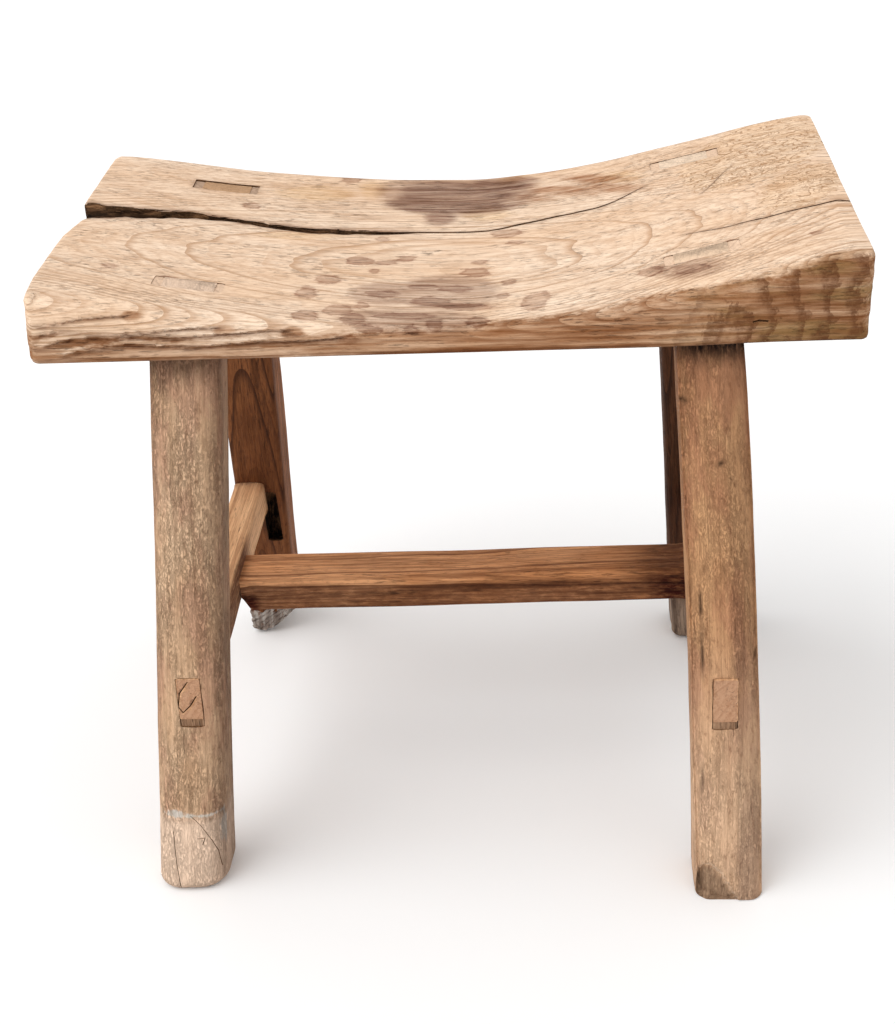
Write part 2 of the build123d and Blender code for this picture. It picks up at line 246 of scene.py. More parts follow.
# from where to where each mark counts in its noise, ring or value, and how much at both ends if not 0 and 1
bands = {
    "calm": (0.85, 1.0, 1.0, 0.3), "lateRise": (0.45, 0.96), "lateStop": (1.0, 0.965),
    "lateYear": (0.1, 1.0, 0.2, 1.0), "lateSawn": (0.0, 1.0, 1.0, 0.35), "dash": (0.54, 0.66),
    "dashRing": (0.75, 0.2, 0.35, 1.0), "dashPatch": (0.38, 0.62, 0.12, 1.0),
    "dashBurl": (0.2, 0.8, 1.0, 0.2), "scribbleRise": (0.72, 0.9), "scribbleStop": (1.0, 0.94),
    "scribbleBurl": (0.3, 0.8), "scribblePatch": (0.3, 0.5), "curls": (0.0, 0.06, 1.0, 0.0),
    "curlPatch": (0.36, 0.6, 0.25, 1.0), "cloud": (0.3, 0.7), "blush": (0.44, 0.62), "streak": (0.42, 0.7),
    "fibre": (0.45, 0.68), "fleck": (0.52, 0.72), "stainStreak": (0.3, 0.66, 0.5, 1.0),
    "rimRise": (0.44, 0.52), "rimStop": (0.7, 0.53), "rimFleck": (0.35, 0.6, 0.3, 1.0), "arcRise": (0.3, 0.8),
    "arcStop": (1.0, 0.88), "arcMottle": (0.35, 0.6, 0.45, 1.0), "olive": (0.4, 0.65, 0.0, 0.5),
    "flakes": (0.35, 0.6), "paint": (0.5, 0.95, 0.0, 0.75), "grime": (0.2, 0.6, 0.55, 1.0),
}
# how far ragged noise and patches move the outline of a stain, less their average, and that of the paint
outline = {"ragged": 0.8, "patch": 0.9, "average": 0.85, "paint": 1.9}
# the bump's depth is in metres
skin = {"blush": 0.7, "bleachedMottle": 0.5, "roughVaries": 0.08, "specular": 0.12, "bumpDepth": 0.0015}
scribbles = {"strength": 0.8, "lines": 13.0, "curl": 0.034}
# the seat's thick end: where the branch sat, in metres, and how the arcs round it crowd
endArcs = {"middle": (0.168, -0.1325, 0.388), "stretch": (1.0, 0.0, 0.42), "crowd": 62.0, "wave": 2.2}
flaking = {"light": (236, 231, 222), "tint": (226, 218, 206)}


# a colour as a picture editor shows it, turned into the value that a shader takes
def colour(red, green, blue):
    def one(c):
        c /= 255
        return c / 12.92 if c <= 0.04045 else ((c + 0.055) / 1.055) ** 2.4
    return (one(red), one(green), one(blue), 1.0)


# a node tree: sets or links a socket, and adds a node and gives one of its outputs
class Nodes:

    def __init__(self, tree):
        self.tree = tree

    def put(self, value, socket):
        if isinstance(value, bpy.types.NodeSocket):
            self.tree.links.new(value, socket)
        else:
            socket.default_value = value

    def node(self, kind, inputs, output=0, **settings):
        new = self.tree.nodes.new(kind)
        for key, value in settings.items():
            setattr(new, key, value)
        for key, value in inputs.items():
            self.put(value, new.inputs[key])
        return new.outputs[output]


# a material's tree, with short ways to add its usual nodes
class Shader(Nodes):

    def __init__(self, name):
        self.material = bpy.data.materials.new(name)
        self.material.use_nodes = True
        super().__init__(self.material.node_tree)
        self.surface = self.tree.nodes["Principled BSDF"].inputs

    def maths(self, operation, a, b=0.0):
        return self.node("ShaderNodeMath", {0: a, 1: b}, operation=operation)

    def plus(self, a, b, clamp=False):
        return self.node("ShaderNodeMath", {0: a, 1: b}, operation="ADD", use_clamp=clamp)

    def times(self, first, *more):
        for value in more:
            first = self.maths("MULTIPLY", first, value)
        return first

    def value(self, name):
        return self.node("ShaderNodeAttribute", {}, "Fac", attribute_name=name)

    def vector(self, operation, a, b):
        return self.node("ShaderNodeVectorMath", {0: a, 1: b}, operation=operation)

    def length(self, vector):
        return self.node("ShaderNodeVectorMath", {0: vector}, "Value", operation="LENGTH")

    def noise(self, vector, kind, scale=None, output="Fac"):
        usual, detail, rough = grain[kind]
        moved = self.vector("MULTIPLY", vector, scale or usual)
        inputs = {"Vector": moved, "Scale": 1.0, "Detail": detail, "Roughness": rough}
        return self.node("ShaderNodeTexNoise", inputs, output)

    # noise as a vector round zero
    def drift(self, vector, kind):
        return self.vector("SUBTRACT", self.noise(vector, kind, output="Color"), (0.5, 0.5, 0.5))

    def spread(self, value, low, high, toLow=0.0, toHigh=1.0):
        return self.node(
            "ShaderNodeMapRange",
            {"Value": value, "From Min": low, "From Max": high, "To Min": toLow, "To Max": toHigh},
            interpolation_type="SMOOTHSTEP",
        )

    def band(self, value, kind):
        return self.spread(value, *bands[kind])

    def mix(self, factor, a, b, blend="MIX"):
        new = self.tree.nodes.new("ShaderNodeMix")
        new.data_type, new.blend_type, new.clamp_factor = "RGBA", blend, True
        for value, place in ((factor, 0), (a, 6), (b, 7)):
            self.put(value, new.inputs[place])
        return new.outputs[2]


# growth rings, pores and fibres along the grain, with the stains, dirt and painted shade that the piece's
# values give
def woodMaterial(name, look):
    s = Shader(name)
    place = s.node("ShaderNodeAttribute", {}, "Vector", attribute_name="grainPlace")
    burl, bleached = s.value("burl"), s.value("bleached")
    calm = s.band(bleached, "calm")
    wander = s.vector("MULTIPLY", s.drift(place, "wander"), (0.0, look["wander"] * mm, look["wander"] * mm))
    bend = s.times(burl, scribbles["curl"])
    curl = s.node("ShaderNodeVectorMath", {0: s.drift(place, "curl"), "Scale": bend}, operation="SCALE")
    bent = s.vector("ADD", place, wander)
    middle = (0.0, look["pith"][0] * mm, look["pith"][1] * mm)
    pith = s.vector("SUBTRACT", s.vector("ADD", bent, curl), middle)
    radius = s.length(s.vector("MULTIPLY", pith, (0.0, 1.0, 1.0)))
    years = s.plus(s.times(radius, 1 / (look["ringGap"] * mm)), s.noise(place, "years"))
    ring = s.maths("FRACT", years)
    # late wood darkens slowly and ends sharply; some years are dark, some hardly show
    late = s.times(s.band(ring, "lateRise"), s.band(ring, "lateStop"))
    yearTone = s.node("ShaderNodeTexWhiteNoise", {"W": s.maths("FLOOR", years)}, "Value",
                      noise_dimensions="1D")
    late = s.times(late, s.band(yearTone, "lateYear"), s.band(s.value("endGrain"), "lateSawn"))
    fibre, streak = s.noise(bent, "fibre"), s.noise(bent, "streak")
    patch = s.noise(place, "patch")
    dash = s.noise(bent, "dash", look.get("dash"))
    dash = s.times(s.band(dash, "dash"), s.band(ring, "dashRing"), s.band(patch, "dashPatch"),
                   s.band(burl, "dashBurl"), calm)
    # round the burl the rings crowd and curl like scribbles
    scribble = s.maths("FRACT", s.times(s.noise(place, "scribble"), scribbles["lines"]))
    scribble = s.times(s.band(scribble, "scribbleRise"), s.band(scribble, "scribbleStop"),
                       s.times(s.band(burl, "scribbleBurl"), s.band(patch, "scribblePatch")))
    cloud, fleck = s.noise(place, "cloud"), s.noise(place, "fleck")
    mottle = s.noise(bent, "mottle")
    curls = s.band(s.maths("ABSOLUTE", s.maths("SUBTRACT", mottle, 0.5)), "curls")
    curls = s.times(curls, s.band(patch, "curlPatch"))

    tone = s.mix(s.band(cloud, "cloud"), look["pale"], look["warm"])
    if "blushTint" in look:
        blush = s.band(s.noise(place, "blush"), "blush")
        tone = s.mix(s.times(blush, skin["blush"]), tone, look["blushTint"])
    tone = s.mix(bleached, tone, look.get("bleachTint", look["pale"]))
    marks = [
        s.times(s.band(streak, "streak"), s.times(calm, look["streaks"])),
        s.times(late, s.times(calm, look["rings"])),
        s.times(scribble, scribbles["strength"]),
        s.times(s.band(fibre, "fibre"), s.times(calm, look["fibres"])),
        s.times(s.band(fleck, "fleck"), s.times(calm, look["flecks"])),
    ]
    if "mottle" in look:
        worn = s.spread(bleached, 0.0, 0.85, look["mottle"], look["mottle"] * skin["bleachedMottle"])
        marks.append(s.times(curls, s.times(worn, calm)))
    for mark in marks:
        tone = s.mix(mark, tone, look["dark"])
    tone = s.mix(s.times(dash, look["pores"]), tone, look["deep"])
    height = s.times(curls, -look.get("mottle", 0.0))
    for mark, amount in zip((late, fibre, streak, dash, fleck, scribble), relief.values()):
        height = s.plus(height, s.times(mark, amount))

    # each stain has a value that is 0.5 on its outline and goes up inside
    ragged = s.noise(place, "ragged")
    shift = s.plus(s.times(ragged, outline["ragged"]), s.times(patch, outline["patch"]))
    shift = s.maths("SUBTRACT", shift, outline["average"])
    for stain, (tint, softness, strength, edge) in look.get("stains", {}).items():
        reach = s.plus(s.value(stain), shift)
        inside = s.times(s.spread(reach, 0.5 - softness, 0.5 + softness), strength,
                         s.band(streak, "stainStreak"))
        rim = s.times(s.band(reach, "rimRise"), s.band(reach, "rimStop"), s.band(fleck, "rimFleck"))
        inside = s.plus(inside, s.times(rim, edge), clamp=True)
        tone = s.mix(inside, tone, s.mix(1.0, tone, tint, "MULTIPLY"))
    if "endTint" in look:
        # the thick end was sawn across a branch: brown arcs that stand nearly upright, with olive between
        away = s.vector("MULTIPLY", s.vector("SUBTRACT", place, endArcs["middle"]), endArcs["stretch"])
        arcs = s.plus(s.times(s.length(away), endArcs["crowd"]), s.times(cloud, endArcs["wave"]))
        arc = s.maths("FRACT", s.plus(arcs, s.times(s.noise(place, "arcs"), endArcs["wave"])))
        arc = s.times(s.band(arc, "arcRise"), s.band(arc, "arcStop"), s.band(mottle, "arcMottle"))
        cut = s.value("endGrain")
        tone = s.mix(s.times(cut, s.band(patch, "olive")), tone, look["oliveTint"])
        tone = s.mix(s.times(cut, arc, look["endStreaks"]), tone, look["endTint"])
    paint = s.plus(s.value("paint"), s.times(s.maths("SUBTRACT", ragged, 0.5), outline["paint"]))
    flakes = s.mix(s.band(streak, "flakes"), colour(*flaking["light"]),
                   look.get("flakeTint", colour(*flaking["tint"])))
    tone = s.mix(s.band(paint, "paint"), tone, flakes)
    # dirt, and painted shade where the piece's values carry it, darkens the colour towards its tint
    grime = s.times(s.value("grime"), s.band(ragged, "grime"))
    tone = s.mix(grime, tone, s.mix(1.0, tone, look["grimeAndShadeTint"], "MULTIPLY"))

    s.put(tone, s.surface["Base Color"])
    rough = s.spread(streak, 0.3, 0.7, look["rough"] - skin["roughVaries"],
                     look["rough"] + skin["roughVaries"])
    s.put(rough, s.surface["Roughness"])
    s.put(skin["specular"], s.surface["Specular IOR Level"])
    inputs = {"Height": height, "Strength": look["bump"], "Distance": skin["bumpDepth"]}
    s.put(s.node("ShaderNodeBump", inputs, "Normal"), s.surface["Normal"])
    return s.material


crackWood = woodMaterial("crackWood", {
    "pale": colour(176, 132, 94), "warm": colour(146, 104, 70), "dark": colour(86, 56, 36),
    "deep": colour(30, 18, 11), "grimeAndShadeTint": colour(28, 18, 12), "pith": (20, 250), "ringGap": 3.0,
    "wander": 8, "rings": 0.5, "streaks": 0.7, "fibres": 0.8, "pores": 0.6, "flecks": 0.6, "rough": 0.9,
    "bump": 1.0,
})

# the seat board
seatLook = {
    "pale": colour(254, 228, 202), "warm": colour(247, 213, 181), "dark": colour(184, 138, 100),
    "deep": colour(110, 74, 50), "grimeAndShadeTint": colour(112, 76, 50), "dash": (95.0, 900.0, 900.0),
    "pith": (-26, 288), "ringGap": 2.1, "wander": 7, "rings": 0.66, "streaks": 0.38, "fibres": 0.48,
    "pores": 0.6, "flecks": 0.3, "rough": 0.8, "bump": 0.75,
    "endStreaks": 0.85, "endTint": colour(98, 58, 32), "oliveTint": colour(150, 122, 76),
    # tint, softness of the outline, strength, strength of a darker rim
    "stains": {
        "frontBand": (colour(170, 134, 98), 0.2, 0.92, 0.1),
        "frontMiddle": (colour(206, 180, 152), 0.4, 0.74, 0.0),
        "brownEnd": (colour(192, 170, 146), 0.2, 0.9, 0.0),
        "bigStain": (colour(168, 148, 144), 0.34, 0.95, 0.0),
        "spotStain": (colour(186, 164, 156), 0.16, 0.7, 0.45),
        "greyStain": (colour(190, 176, 172), 0.36, 0.85, 0.0),
        "yellowStain": (colour(236, 218, 176), 0.34, 0.5, 0.0),
        "brownStain": (colour(190, 156, 130), 0.3, 0.9, 0.0),
        "burlStain": (colour(250, 242, 226), 0.4, 0.6, 0.0),
        "tipStain": (colour(176, 138, 100), 0.25, 0.8, 0.0),
    },
}
seatShape = {
    # saddle line: X, height, both in millimetres
    "saddle": ((-250, 432.5), (-217.7, 428.2), (-188.8, 423.5), (-152.6, 417.6), (-116.2, 413.0),
               (-79.9, 409.1), (-43.4, 406.4), (-7, 404.9), (14.8, 404.5), (43.9, 406.6), (72.9, 409.6),
               (101.7, 414.2), (137.4, 421.7), (172.7, 429.5), (207.5, 437.6), (235.2, 442.6), (250, 444.4)),
    "crown": 443.15, "firstGuess": 412.0,
    "cornerBackLeft": 13, "cornerFrontLeft": 7, "cornerBackRight": 8, "cornerFrontRight": 7.5,
    "endTopRound": ((-190, 11), (-160, 9), (-120, 4.5), (190, 4.5)), "endLowRound": 4, "backTopRound": 3.5,
    # the front's lower edge gets rounder towards the right end
    "lowRound": 3, "frontLowRound": {"from": 120, "full": 200, "more": 4},
    # the worn front edge: X and its rounding
    "frontRound": ((-250, 15), (-120, 15), (0, 12), (60, 12), (160, 13), (250, 10)),
    # the left end in front of the big crack is worn back: Y and by how much
    "leftWear": ((-186, 4), (-165, 5.2), (-140, 4.4), (-118, 2), (-95, 0), (-50, 0), (-28, 1), (-10, 4.5),
                 (0, 6.5), (5, 10), (14, 14), (26, 2), (34, 0), (140, 0)), "leftWearFrom": 190,
    # at the front corner only the upper half is worn
    "lowCorner": {"y": -92, "share": 0.12, "from": 12, "full": 38},
    # the grid: its step, the closer lines at the edges, and the levels between the edges
    "step": 2.0, "endSteps": (0, 0.8, 1.9, 3.2, 4.7, 6.4, 8.3, 10.4, 12.7),
    "lowSteps": (0, 0.7, 1.7, 3.0, 4.6), "topSteps": (6.6, 4.9, 3.3, 2.0, 0.9, 0), "sideLevels": 17,
}
bigCrack = {
    "back": ((-258, 33), (-244.5, 32.9), (-230.7, 30.7), (-204.5, 32.1), (-179.2, 37.9), (-151.9, 34.2),
             (-133.1, 32.2), (-97.6, 27), (-77.9, 29.4), (-57.7, 27.6), (-23, 27.3), (-17, 26.9)),
    "front": ((-258, 3), (-234.4, 4.8), (-225, 5.8), (-201.3, 16.4), (-176.9, 25.5), (-151, 28.7),
              (-131.8, 25.3), (-96.7, 19.8), (-77, 21.1), (-57.4, 22.6), (-23, 24.9), (-17, 25.2)),
    "floor": 380, "ragged": 1.7, "step": 2.2, "seed": 20,
}
fineCracks = (
    # the line seen from above, its width, how much of the width is open, and how high it ends over the floor
    {"line": ((-24, 26.6), (-1.1, 25.6), (23.6, 25.9), (46.7, 31.6), (74, 37.6), (94.7, 40), (108.5, 45),
              (129.8, 61.2)),
     "width": 2.7, "open": ((-24, 0.9), (60, 1), (110, 0.7), (130, 0.2)), "floor": 394},
    {"line": ((149.6, -41.9), (171.7, -45.6), (200, -46.4), (228, -44.7), (243, -41.5), (256, -47.6)),
     "width": 2.2, "open": ((149.6, 0.2), (254.6, 1)), "floor": 416},
    {"line": ((164.7, 21.5), (174.6, 38), (186, 57.9)),
     "width": 1.1, "open": ((164.7, 0.15), (174.7, 0.483), (184.7, 0.15)), "floor": 420},
)
fineCrackCut = {"ragged": 0.25, "step": 2.5, "wander": 0.6, "cell": (11, 9, 9), "seed": 30}
cutTop = 455  # over every place of the saddle
frontNick = {"line": ((753.5, 322), (760, 320.6), (768, 321.5)), "width": 1.5, "depth": 3.5, "out": 2}
saddle = smoothCurve(seatShape["saddle"])
# rough wear in layers of cell, height and seed, and how deep it goes, in millimetres
seatWear = {
    "top": (((140, 60, 60), 0.6, 3), ((46, 7, 12), 0.3, 4), ((24, 3.6, 8), 0.2, 5)),
    "side": (((50, 50, 16), 0.8, 6), ((14, 30, 3.5), 0.4, 7), ((6, 20, 6), 0.2, 9)),
    "split": (((13, 60, 60), 0.5, 12), ((4, 30, 30), 0.25, 13)),
    "under": (((60, 14, 14), 0.15, 10),),
    "depth": 0.8, "least": 0.05, "share": 0.75,
    # the lips of the big crack: how deep they are worn, and how far from it
    "lip": 1.1, "lipRough": (((9, 4, 9), 0.8, 8),), "lipReach": 2.6,
    # below each split: how far the wood is set back, and how soon it comes out again
    "setBack": 1.7, "setBackReach": 2.6,
}


# where the saddle shows at this pixel of the photo
def seatPoint(u, v):
    direction = photoRay(u, v)
    height = seatShape["firstGuess"]
    for _ in range(8):
        point = camera["place"] + direction * (height - camera["place"][2]) / direction[2]
        height = saddle(point[0])
    return point[:2]


# corners seen from above: where places move to, how far in they lie, and which way is out
def roundCorners(x, y, radius):
    halfX, halfY = seatHigh[0], seatHigh[1]
    ox = np.maximum(np.abs(x) - (halfX - radius), 0) / radius
    oy = np.maximum(np.abs(y) - (halfY - radius), 0) / radius
    corner = (ox > 0) & (oy > 0)
    size = np.maximum(ox, oy) / np.maximum(np.hypot(ox, oy), 1e-9)
    px = np.where(corner, halfX - radius + ox * size * radius, np.abs(x))
    py = np.where(corner, halfY - radius + oy * size * radius, np.abs(y))
    reach = np.maximum(np.hypot(ox, oy) * size, 1e-9)
    nearX = halfX - np.abs(x) < halfY - np.abs(y)
    inset = np.where(corner, radius * (1 - reach), np.minimum(halfX - np.abs(x), halfY - np.abs(y)))
    outX, outY = (np.where(corner, out * size / reach, near) for out, near in ((ox, nearX), (oy, ~nearX)))
    return px, py, inset, outX, outY


# the board's skin as a grid, rounded at its corners and edges and worn at the left end
def seatGrid():
    shape = seatShape
    ends, low, top = (np.array(shape[key]) for key in ("endSteps", "lowSteps", "topSteps"))

    def stations(half):
        inner = np.linspace(-half + ends[-1], half - ends[-1], int((half - ends[-1]) / shape["step"] * 2) + 1)
        return np.concatenate([-half + ends[:-1], inner, (half - ends[:-1])[::-1]])

    xs, ys = stations(seatHigh[0]), stations(seatHigh[1])
    middle = np.linspace(0, 1, shape["sideLevels"] + 2)[1:-1]
    nx, ny, nz = len(xs), len(ys), len(low) + len(middle) + len(top)
    i, j, k = np.meshgrid(np.arange(nx), np.arange(ny), np.arange(nz), indexing="ij")
    skin = (i == 0) | (i == nx - 1) | (j == 0) | (j == ny - 1) | (k == 0) | (k == nz - 1)
    ids = np.full((nx, ny, nz), -1)
    ids[skin] = np.arange(skin.sum())
    x, y, level = xs[i[skin]], ys[j[skin]], k[skin]
    topAt = saddle(x)
    lowEnd, highEnd = underside + low[-1], topAt - top[0]
    share = np.concatenate([np.zeros(len(low)), middle, np.ones(len(top))])[level]
    z = lowEnd + (highEnd - lowEnd) * share
    z = np.where(level < len(low), underside + low[np.minimum(level, len(low) - 1)], z)
    fromTop = np.concatenate([np.zeros(nz - len(top)), top])[level]
    z = np.where(level >= nz - len(top), topAt - fromTop, z)

    corners = [shape[key] for key in ("cornerFrontLeft", "cornerBackLeft", "cornerFrontRight")]
    radius = np.select([(x < 0) & (y < 0), x < 0, y < 0], corners, float(shape["cornerBackRight"]))
    px, py, inset, outX, outY = roundCorners(x, y, radius)
    sideTop = np.where(y < 0, readOff(shape["frontRound"], x), shape["backTopRound"])
    topRound = outX**2 * readOff(shape["endTopRound"], y) + outY**2 * sideTop
    more = shape["frontLowRound"]
    sideLow = shape["lowRound"] + np.where(y < 0, stepUp(x, more["from"], more["full"]) * more["more"], 0)
    lowRound = outX**2 * shape["endLowRound"] + outY**2 * sideLow
    for edge, depth, sign in ((topRound, topAt - z, 1), (lowRound, z - underside, -1)):
        a, b = np.maximum(1 - inset / edge, 0), np.maximum(1 - depth / edge, 0)
        both = (a > 0) & (b > 0)
        size = np.maximum(a, b) / np.maximum(np.hypot(a, b), 1e-9)
        move = np.where(both, edge * a * (1 - size), 0)
        px, py = px - outX * move, py - outY * move
        z = z - sign * np.where(both, edge * b * (1 - size), 0)
    x, y = np.sign(x) * px, np.sign(y) * py
    corner = shape["lowCorner"]
    upper = corner["share"] + (1 - corner["share"]) * stepUp(z - underside, corner["from"], corner["full"])
    wear = readOff(shape["leftWear"], y) * np.where(y < corner["y"], upper, 1)
    x = x + wear * stepUp(-x, shape["leftWearFrom"], seatHigh[0])
    z = np.minimum(z, shape["crown"])

    faces = []
    for a in (ids[:, :, 0], ids[:, :, -1], ids[0], ids[-1], ids[:, 0], ids[:, -1]):
        quads = np.stack([a[:-1, :-1], a[1:, :-1], a[1:, 1:], a[:-1, 1:]], -1).reshape(-1, 4)
        faces += quads.tolist()
    return makeMesh("seatBoard", np.stack([x, y, z], 1), faces)


# the front left edge has split along its layers: each split by the photo's pixels, ends at its tip
splits = (
    ((19, 325), (40, 326.7), (60, 324), (80, 319), (100, 317), (120, 315), (131, 312)),
    ((19, 331), (33, 337), (50, 333), (58, 331), (87, 333), (120, 334), (153, 332), (187, 328.5), (226, 327)),
    ((19, 346), (40, 348), (60, 342), (87, 338.5), (120, 338), (153, 336.5), (187, 337), (220, 335),
     (253, 332), (294, 328)),
    ((50, 360), (77, 353), (103, 348), (130, 345.5), (170, 347), (207, 347), (253, 343), (303, 341),
     (350, 336)),
)


# X and Z where an upright plane at this Y shows at a pixel of the photo
def planePoint(u, v, y):
    direction = photoRay(u, v)
    point = camera["place"] + direction * (y - camera["place"][1]) / direction[1]
    return point[0], point[2]


# a cutter leaves the dark wood of a crack on the walls that it cuts
def asCutter(piece):
    piece.data.materials.append(crackWood)
    return piece


# a thin blade along each stretch of a crack in an upright face; the line is in the photo's pixels
def bladeCutters(name, crack, y):
    overlap, narrow = 0.3, (0.7, 0.8)
    blades = []
    for start, end in zip(crack["line"], crack["line"][1:]):
        a, b = np.array(planePoint(*start, y)), np.array(planePoint(*end, y))
        along = (b - a) / np.hypot(*(b - a))
        aside = np.array([-along[1], along[0]]) * crack["width"] / 2
        a, b = a - along * overlap, b + along * overlap
        corners = (a + aside * narrow[0], a - aside, b - aside * narrow[1], b + aside)
        ys = np.linspace(y - crack["out"], y + crack["depth"], 4)
        rings = [[(x, at, z) for x, z in corners] for at in ys]
        blades.append(asCutter(ringStack(f"{name}{len(blades)}", rings)))
    return blades


# how high a place shows over the front's lower edge, seen as in the photo
def seenHeight(p):
    slope = 0.59
    return p[:, 2] - underside + slope * (p[:, 1] - seatLow[1])


# signed distance over each split, and how much the split still counts there
def splitReach(p):
    x, y = p[:, :2].T
    seen = seenHeight(p) + layered(p, seatWear["split"])
    for line in splits:
        xs, heights = np.array([planePoint(u, v, seatLow[1]) for u, v in line]).T
        fade = stepUp(xs[-1] - x, -1, 7) * stepUp(x, xs[0] - 1, xs[0] + 14)
        yield seen - np.interp(x, xs, heights - underside), fade * stepUp(-y, 92, 108)


# how far a place lies outside the big crack, below 0 inside it
def fromBigCrack(p):
    x, y = p[:, :2].T
    return np.maximum(y - readOff(bigCrack["back"], x), readOff(bigCrack["front"], x) - y)


# hand-worn, never quite flat, and never outside the board
def worn(p, side):
    deep = layered(p, seatWear[side]) - seatWear["depth"]
    return np.minimum(deep, -seatWear["least"]) * seatWear["share"]


def wearSeat(seat):
    p, n = places(seat), normals(seat)
    wear = seatWear
    flat = np.abs(n[:, 2])
    amount = flat * worn(p, "top") + (1 - flat) * worn(p, "side")
    amount = np.where(n[:, 2] < -0.5, -wear["least"] - np.abs(layered(p, wear["under"])), amount)
    lip = np.exp(-np.maximum(fromBigCrack(p), 0) / wear["lipReach"])
    lip *= stepUp(-p[:, 0], 10, 60) * (n[:, 2] > 0.3)
    amount -= lip * (wear["lip"] + layered(p, wear["lipRough"]))
    for over, counts in splitReach(p):
        setBack = wear["setBack"] * np.exp(-np.clip(-over, 0, None) / wear["setBackReach"])
        amount -= counts * np.where(over < 0.3, setBack, 0) * (n[:, 2] > -0.5)
    movePlaces(seat, p + n * amount[:, None])


# a slit from above with ragged walls, between a front and a back line along X
def slitCutter(name, xs, front, back, floor, ragged, seed):
    count, thinnest = 15, 0.3
    levels = np.linspace(floor, cutTop, count)
    rings = np.array([np.vstack([rows(x, near, levels), rows(x, far, levels[::-1])])
                      for x, near, far in zip(xs, front, back)])
    layers = (((16, 400, 5), 0.7, seed), ((5, 400, 3), 0.4, seed + 1))
    rings[..., 1] += (ragged * layered(rings.reshape(-1, 3), layers)).reshape(rings.shape[:2])
    lacking = np.maximum(thinnest - (rings[:, ::-1][:, :count, 1] - rings[:, :count, 1]), 0) / 2
    rings[:, :count, 1] -= lacking
    rings[:, count:, 1] += lacking[:, ::-1]
    return asCutter(ringStack(name, rings))


def crackCutters():
    back, front = bigCrack["back"], bigCrack["front"]
    xs = np.arange(back[0][0], back[-1][0], bigCrack["step"])
    made = [slitCutter("bigCrackCutter", xs, readOff(front, xs), readOff(back, xs), bigCrack["floor"],
                       bigCrack["ragged"], bigCrack["seed"])]
    cut = fineCrackCut
    for number, crack in enumerate(fineCracks):
        xs = np.arange(crack["line"][0][0], crack["line"][-1][0], cut["step"])
        wander = softNoise(rows(xs, 0, 0), cut["cell"], cut["seed"] + number) * cut["wander"]
        middle = readOff(crack["line"], xs) + wander
        half = crack["width"] / 2 * readOff(crack["open"], xs)
        made.append(slitCutter(f"fineCrackCutter{number}", xs, middle - half, middle + half, crack["floor"],
                               cut["ragged"], cut["seed"] + 10 + number))
    return made


# where the legs stand
legs = {
    # top and foot of the axis, widths under the seat and at the foot, tenon's place off the axis
    "leg_front_left": {"top": (-159.4, -94), "foot": (-194.5, -150), "widths": (44.8, 50.2),
                       "tenon": (0, 5.7), "bow": 0, "rounds": (11, 11, 15, 16), "bulge": 1.6, "toe": 7,
                       "seam": 0.12, "proud": -0.05, "wedgeDirt": 0.12, "seamDirt": 0.06, "seed": 50},
    "leg_front_right": {"top": (157.6, -94), "foot": (177.2, -163), "widths": (44.5, 46.2),
                        "tenon": (0, 10.4), "bow": 3, "rounds": (3.5, 3.5, 10, 9), "bulge": 0, "toe": 3,
                        "seam": 0.06, "proud": -0.05, "wedgeDirt": 0.06, "seamDirt": 0.1, "seed": 60},
    "leg_back_left": {"top": (-160, 94), "foot": (-180.3, 163), "widths": (41.2, 41.2), "tenon": (-3.8, 1.6),
                      "bow": 0, "rounds": (11, 11, 3.5, 3.5), "bulge": 0, "toe": 3, "seam": 0.7,
                      "proud": -0.7, "wedgeDirt": 0.55, "seamDirt": 0.9, "seed": 70},
    "leg_back_right": {"top": (159.8, 94), "foot": (182.6, 145.9), "widths": (44.8, 46.2), "tenon": (0, 4.6),
                       "bow": 0, "rounds": (11, 11, 7, 7), "bulge": 0, "toe": 6, "seam": 0.35, "proud": -0.3,
                       "wedgeDirt": 0.12, "seamDirt": 0.4, "seed": 80},
}
joinery = {"legDepth": 46, "tenonWidth": 33, "tenonDepth": 15, "tenonRound": 0.8, "wedgeTip": 1.2,
           "wedgeHead": 9, "wedgeHeight": 56.5}


def straightAxis(leg, z):
    share = np.asarray(z, float) / underside
    return [foot + (top - foot) * share for foot, top in zip(leg["foot"], leg["top"])]


def legAxis(leg, z):
    x, y = straightAxis(leg, z)
    share = np.asarray(z, float) / underside
    return x + leg["bow"] * np.clip(4 * share * (1 - share), 0, 1), y


def tenonMiddle(leg, z):
    x, y = straightAxis(leg, z)
    return x + leg["tenon"][0], y + leg["tenon"][1]


def wedgeThickness(z):
    taper = (joinery["wedgeHead"] - joinery["wedgeTip"]) / joinery["wedgeHeight"]
    return joinery["wedgeTip"] + taper * (z - underside)


# a block that follows the tenon's lean; the last level can end flush with the saddle
def leaningBlock(name, leg, levels, halfWidth, halfDepth, shift, seed, ragged=0.3, count=40, flush=None):
    rings = []
    for z in levels:
        section = roundedSection(halfWidth(z), halfDepth, joinery["tenonRound"], count)
        x, y = tenonMiddle(leg, z)
        rings.append(rows(section[:, 0] + shift(z) + x, section[:, 1] + y, z))
    rings = np.array(rings)
    if flush is not None:
        # slide each point along the lean until it meets the saddle
        low, high = levels[0], levels[-1]
        for ring in rings:
            top = saddle(ring[:, 0])
            top = top + worn(rows(ring[:, 0], ring[:, 1], top), "top") + flush
            newZ = low + (ring[:, 2] - low) / (high - low) * (top - low)
            (oldX, oldY), (newX, newY) = tenonMiddle(leg, ring[:, 2]), tenonMiddle(leg, newZ)
            ring += rows(newX - oldX, newY - oldY, newZ - ring[:, 2])
    flat, cell = rings.reshape(-1, 3), (5, 5, 30)
    flat[:, :2] += ragged * np.stack([softNoise(flat, cell, seed), softNoise(flat, cell, seed + 1)], 1)
    return ringStack(name, rings)


